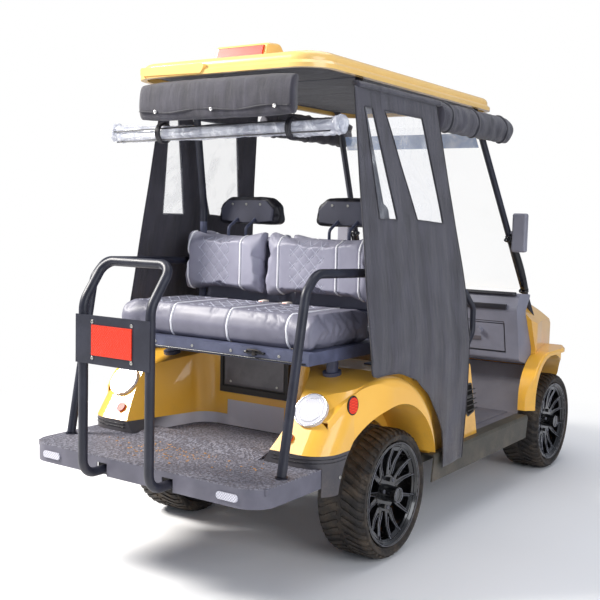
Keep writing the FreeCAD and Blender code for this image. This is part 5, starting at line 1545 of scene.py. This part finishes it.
def scatter_crumbs():
    pick = random.Random(23)
    places = []
    while len(places) < 130:
        x = pick.gauss(-610, 70)
        y = pick.choice((pick.gauss(60, 60), pick.gauss(-60, 120), pick.uniform(-380, 380)))
        if -770 < x < -520 and abs(y) < 420:
            turn = pick.uniform(0, math.tau)
            places.append((at(x, y, 430.2), (pick.uniform(-0.2, 0.2), pick.uniform(-0.2, 0.2), 1.0),
                           (math.cos(turn), math.sin(turn), 0)))
    return set_shapes("leaf_crumbs", crumb_shape(), places, dry_leaf, "chassis", 0.55, 23)


def make_buckles():
    shell, button = bmesh.new(), bmesh.new()
    for y in (17, -96):
        block(shell, -96, -58, y - 13, y + 13, 900, 934, 5.0)
        block(button, -99, -80, y - 7, y + 7, 916, 930, 2.5)
    make_piece("buckle_shells", shell, buckle_white, "chassis")
    return make_piece("buckle_buttons", button, buckle_red, "chassis")


dry_leaf = make_grained("dry_leaf", colour(176, 132, 84), 0.8, 900.0, 0.0002, 0.0)
buckle_white = make_grained("buckle_white", colour(226, 214, 204), 0.4, 900.0, 0.0001, 0.0)
buckle_red = make_grained("buckle_red", colour(214, 60, 36), 0.35, 900.0, 0.0001, 0.0)
print("crumb faces", len(scatter_crumbs().data.polygons), "buckle faces", len(make_buckles().data.polygons))

# %% [markdown]
# The windshield has a tinted band below its top edge. It is a thin clear strip laid on
# the inside of the acrylic, so it follows the same lean as the windshield.

# %% Windshield band


def make_tint_band():
    low_corner, high_corner = (Vector(c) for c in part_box("windshield"))
    lean = (low_corner.x - high_corner.x) / (high_corner.z - low_corner.z)
    half_low, half_high = high_corner.y - 0.004, high_corner.y * 0.79
    bm = bmesh.new()
    rings = []
    for lift in (0.0015, 0.0025):
        ring = []
        for side, z in ((-1, 1.600), (1, 1.600), (1, 1.664), (-1, 1.664)):
            share = (z - low_corner.z) / (high_corner.z - low_corner.z)
            half = half_low + (half_high - half_low) * share - 0.006
            x = high_corner.x + lean * (z - low_corner.z) - 0.006 - lift
            ring.append(bm.verts.new((x, side * half, z)))
        rings.append(ring)
    skin(bm, rings)
    bmesh.ops.recalc_face_normals(bm, faces=bm.faces)
    return make_piece("tint_band", bm, tint_blue, "chassis", smooth=False)


tint_blue = make_clear("tint_blue", colour(120, 150, 196), 0.55, 0.08, 0.0002, 6.0, 0.05)
print("tint band", [round(c, 3) for c in make_tint_band().data.vertices[0].co])

# %% [markdown]
# The dash has a black pad along its top, a slot for papers over the glovebox, ridged cup
# holders and a small plain label on the glovebox door. The slot and the pockets are dark
# blocks: painted shade in their mouths. The vents in the seat base have slats, and a
# mirror hangs on each windshield pillar.

# %% Dash trim and vent slats


def dash_x(z):
    """The dash face leans back between its foot and its brow."""
    return 1262.0 - 57.0 * (z - 600.0) / 250.0


def fit_mirror_arms():
    """Each mirror hangs on an arm clamped to its pillar by two broad straps."""
    arm = bmesh.new()
    for side in (-1, 1):
        # the windshield pillar's own line
        foot, top = at(1511.5, side * 481, 780), at(965, side * 360, 1757)
        along = (top - foot).normalized()
        out = Vector((0.25, side * 1.0, 0.0)).normalized()
        line = []
        for k in range(9):
            line.append(foot + along * (0.16 + 0.04 * k) + out * (0.004 + 0.010 * math.sin(math.pi * k / 8)))
        sweep(arm, line, 0.0185, 10)
        for share in (0.17, 0.46):
            sweep(arm, circle(foot + along * share, along, 0.020, 24), 0.005, 6, True)
    return make_piece("mirror_arms", arm, black_paint, "chassis")


def fit_dash():
    dark, pale, slats = bmesh.new(), bmesh.new(), bmesh.new()
    brow = [at(1222, y, 921) for y in range(-505, 506, 30)]
    sweep(dark, brow, 0.0105, 10, False, 0.8)
    # three dark blocks on the dash face: painted shade for the mouths of its slot and pockets
    for y0, y1, z0, z1 in ((-188, -60, 868, 898), (60, 150, 868, 898), (-470, -200, 846, 872)):
        x = min(dash_x(z0), dash_x(z1)) - 2
        block(dark, x - 2, x + 8, y0, y1, z0, z1, 3.0)
    line = outline_points([(-452, 786), (-208, 786), (-208, 640), (-452, 640)], 8)
    sweep(dark, [at(dash_x(z) - 0.5, y, z) for y, z in line], 0.0014, 6, True)
    block(pale, dash_x(700) - 2.5, dash_x(700) + 6, -330, -276, 686, 706, 1.0)
    for y in (-114, -20):
        for radius in (0.037, 0.041):
            sweep(dark, circle(at(1196, y, 876), (0, 0.001, 1), radius, 36), 0.0016, 6, True)
    for side in (-1, 1):
        for k in range(5):
            z = 455 + 22 * k
            x0 = 640 - (z - 448) * 0.36 + 8
            slat = [at(x, side * 541.5, z + (x - x0) * 0.02) for x in range(int(x0), int(x0) + 112, 14)]
            sweep(slats, slat, 0.0030, 6, False, 0.6)
    make_piece("dash_dark_trim", dark, black_vinyl, "chassis")
    make_piece("dash_label", pale, plate_paint_shaded, "chassis")
    return make_piece("vent_slats", slats, dark_plastic, "chassis")


print("mirror arms", len(fit_mirror_arms().data.polygons), "slats", len(fit_dash().data.polygons))

# %% [markdown]
# A studio: a pale floor that fades to white away from the cart, a key from the upper
# left of the view, a broad cool fill from the right and a soft light from above.

# %% Floor, world and lamps


def build_floor():
    mesh = bpy.data.meshes.new("floor")
    half = 14.0
    corners = [(-half, -half, 0), (half, -half, 0), (half, half, 0), (-half, half, 0)]
    mesh.from_pydata(corners, [], [(0, 1, 2, 3)])
    floor = bpy.data.objects.new("floor", mesh)
    bpy.context.scene.collection.objects.link(floor)
    paint = Paint("floor_pale", Roughness=0.9, Specular_IOR_Level=0.1)
    cloud = paint.noise(0.7).ramp(0.3, 0.7)
    paint.feed(Base_Color=paint.mix(cloud, colour(240, 240, 241), colour(244, 244, 245)))
    # far from the cart the camera sees the same white as the sky, so no horizon shows
    x, y = paint.split(paint.place())[:2]
    away = ((x * x + y * y) ** 0.5).ramp(1.5, 3.2)
    seen = paint.node("ShaderNodeLightPath")
    white = paint.node("ShaderNodeEmission", None, {"Color": (1, 1, 1, 1), "Strength": 1.0})
    blended = paint.node("ShaderNodeMixShader", None, {0: away * seen})
    mixer = blended.socket.node
    paint.tree.links.new(paint.shader.outputs[0], mixer.inputs[1])
    paint.tree.links.new(white.socket, mixer.inputs[2])
    paint.tree.links.new(mixer.outputs[0], paint.tree.nodes["Material Output"].inputs[0])
    mesh.materials.append(paint.material)
    return floor


def build_world():
    world = bpy.data.worlds.new("studio")
    bpy.context.scene.world = world
    world.use_nodes = True
    tree = world.node_tree
    background = tree.nodes["Background"]
    background.inputs[0].default_value = (0.80, 0.86, 1.0, 1.0)
    background.inputs[1].default_value = 0.42
    white = tree.nodes.new("ShaderNodeBackground")
    white.inputs[0].default_value = (1.0, 1.0, 1.0, 1.0)
    white.inputs[1].default_value = 1.0
    rays = tree.nodes.new("ShaderNodeLightPath")
    mixed = tree.nodes.new("ShaderNodeMixShader")
    seen = tree.nodes.new("ShaderNodeMath")
    seen.operation = "MAXIMUM"
    tree.links.new(rays.outputs["Is Camera Ray"], seen.inputs[0])
    tree.links.new(rays.outputs["Is Transmission Ray"], seen.inputs[1])
    tree.links.new(seen.outputs[0], mixed.inputs[0])
    tree.links.new(background.outputs[0], mixed.inputs[1])
    tree.links.new(white.outputs[0], mixed.inputs[2])
    tree.links.new(mixed.outputs[0], tree.nodes["World Output"].inputs[0])
    return world


def add_lamp(name, place, aim, size, power, tint=(1, 1, 1)):
    data = bpy.data.lights.new(name, "AREA")
    data.shape = "RECTANGLE"
    data.size, data.size_y = size
    data.energy = power
    data.color = tint
    lamp = bpy.data.objects.new(name, data)
    lamp.location = place
    lamp.rotation_euler = (Vector(aim) - Vector(place)).to_track_quat("-Z", "Y").to_euler()
    bpy.context.scene.collection.objects.link(lamp)
    return lamp


build_floor()
build_world()
add_lamp("key", (-3.0, 3.4, 3.9), (0.0, 0.0, 0.7), (1.4, 1.4), 480.0, (1.0, 0.97, 0.92))
add_lamp("fill", (-2.2, -4.6, 2.4), (0.0, 0.0, 0.6), (3.5, 2.5), 110.0, (0.93, 0.96, 1.0))
add_lamp("top", (0.4, -0.4, 5.0), (0.0, 0.0, 0.0), (4.0, 3.0), 90.0)
bpy.context.scene.view_settings.view_transform = "Standard"
print("studio ready")
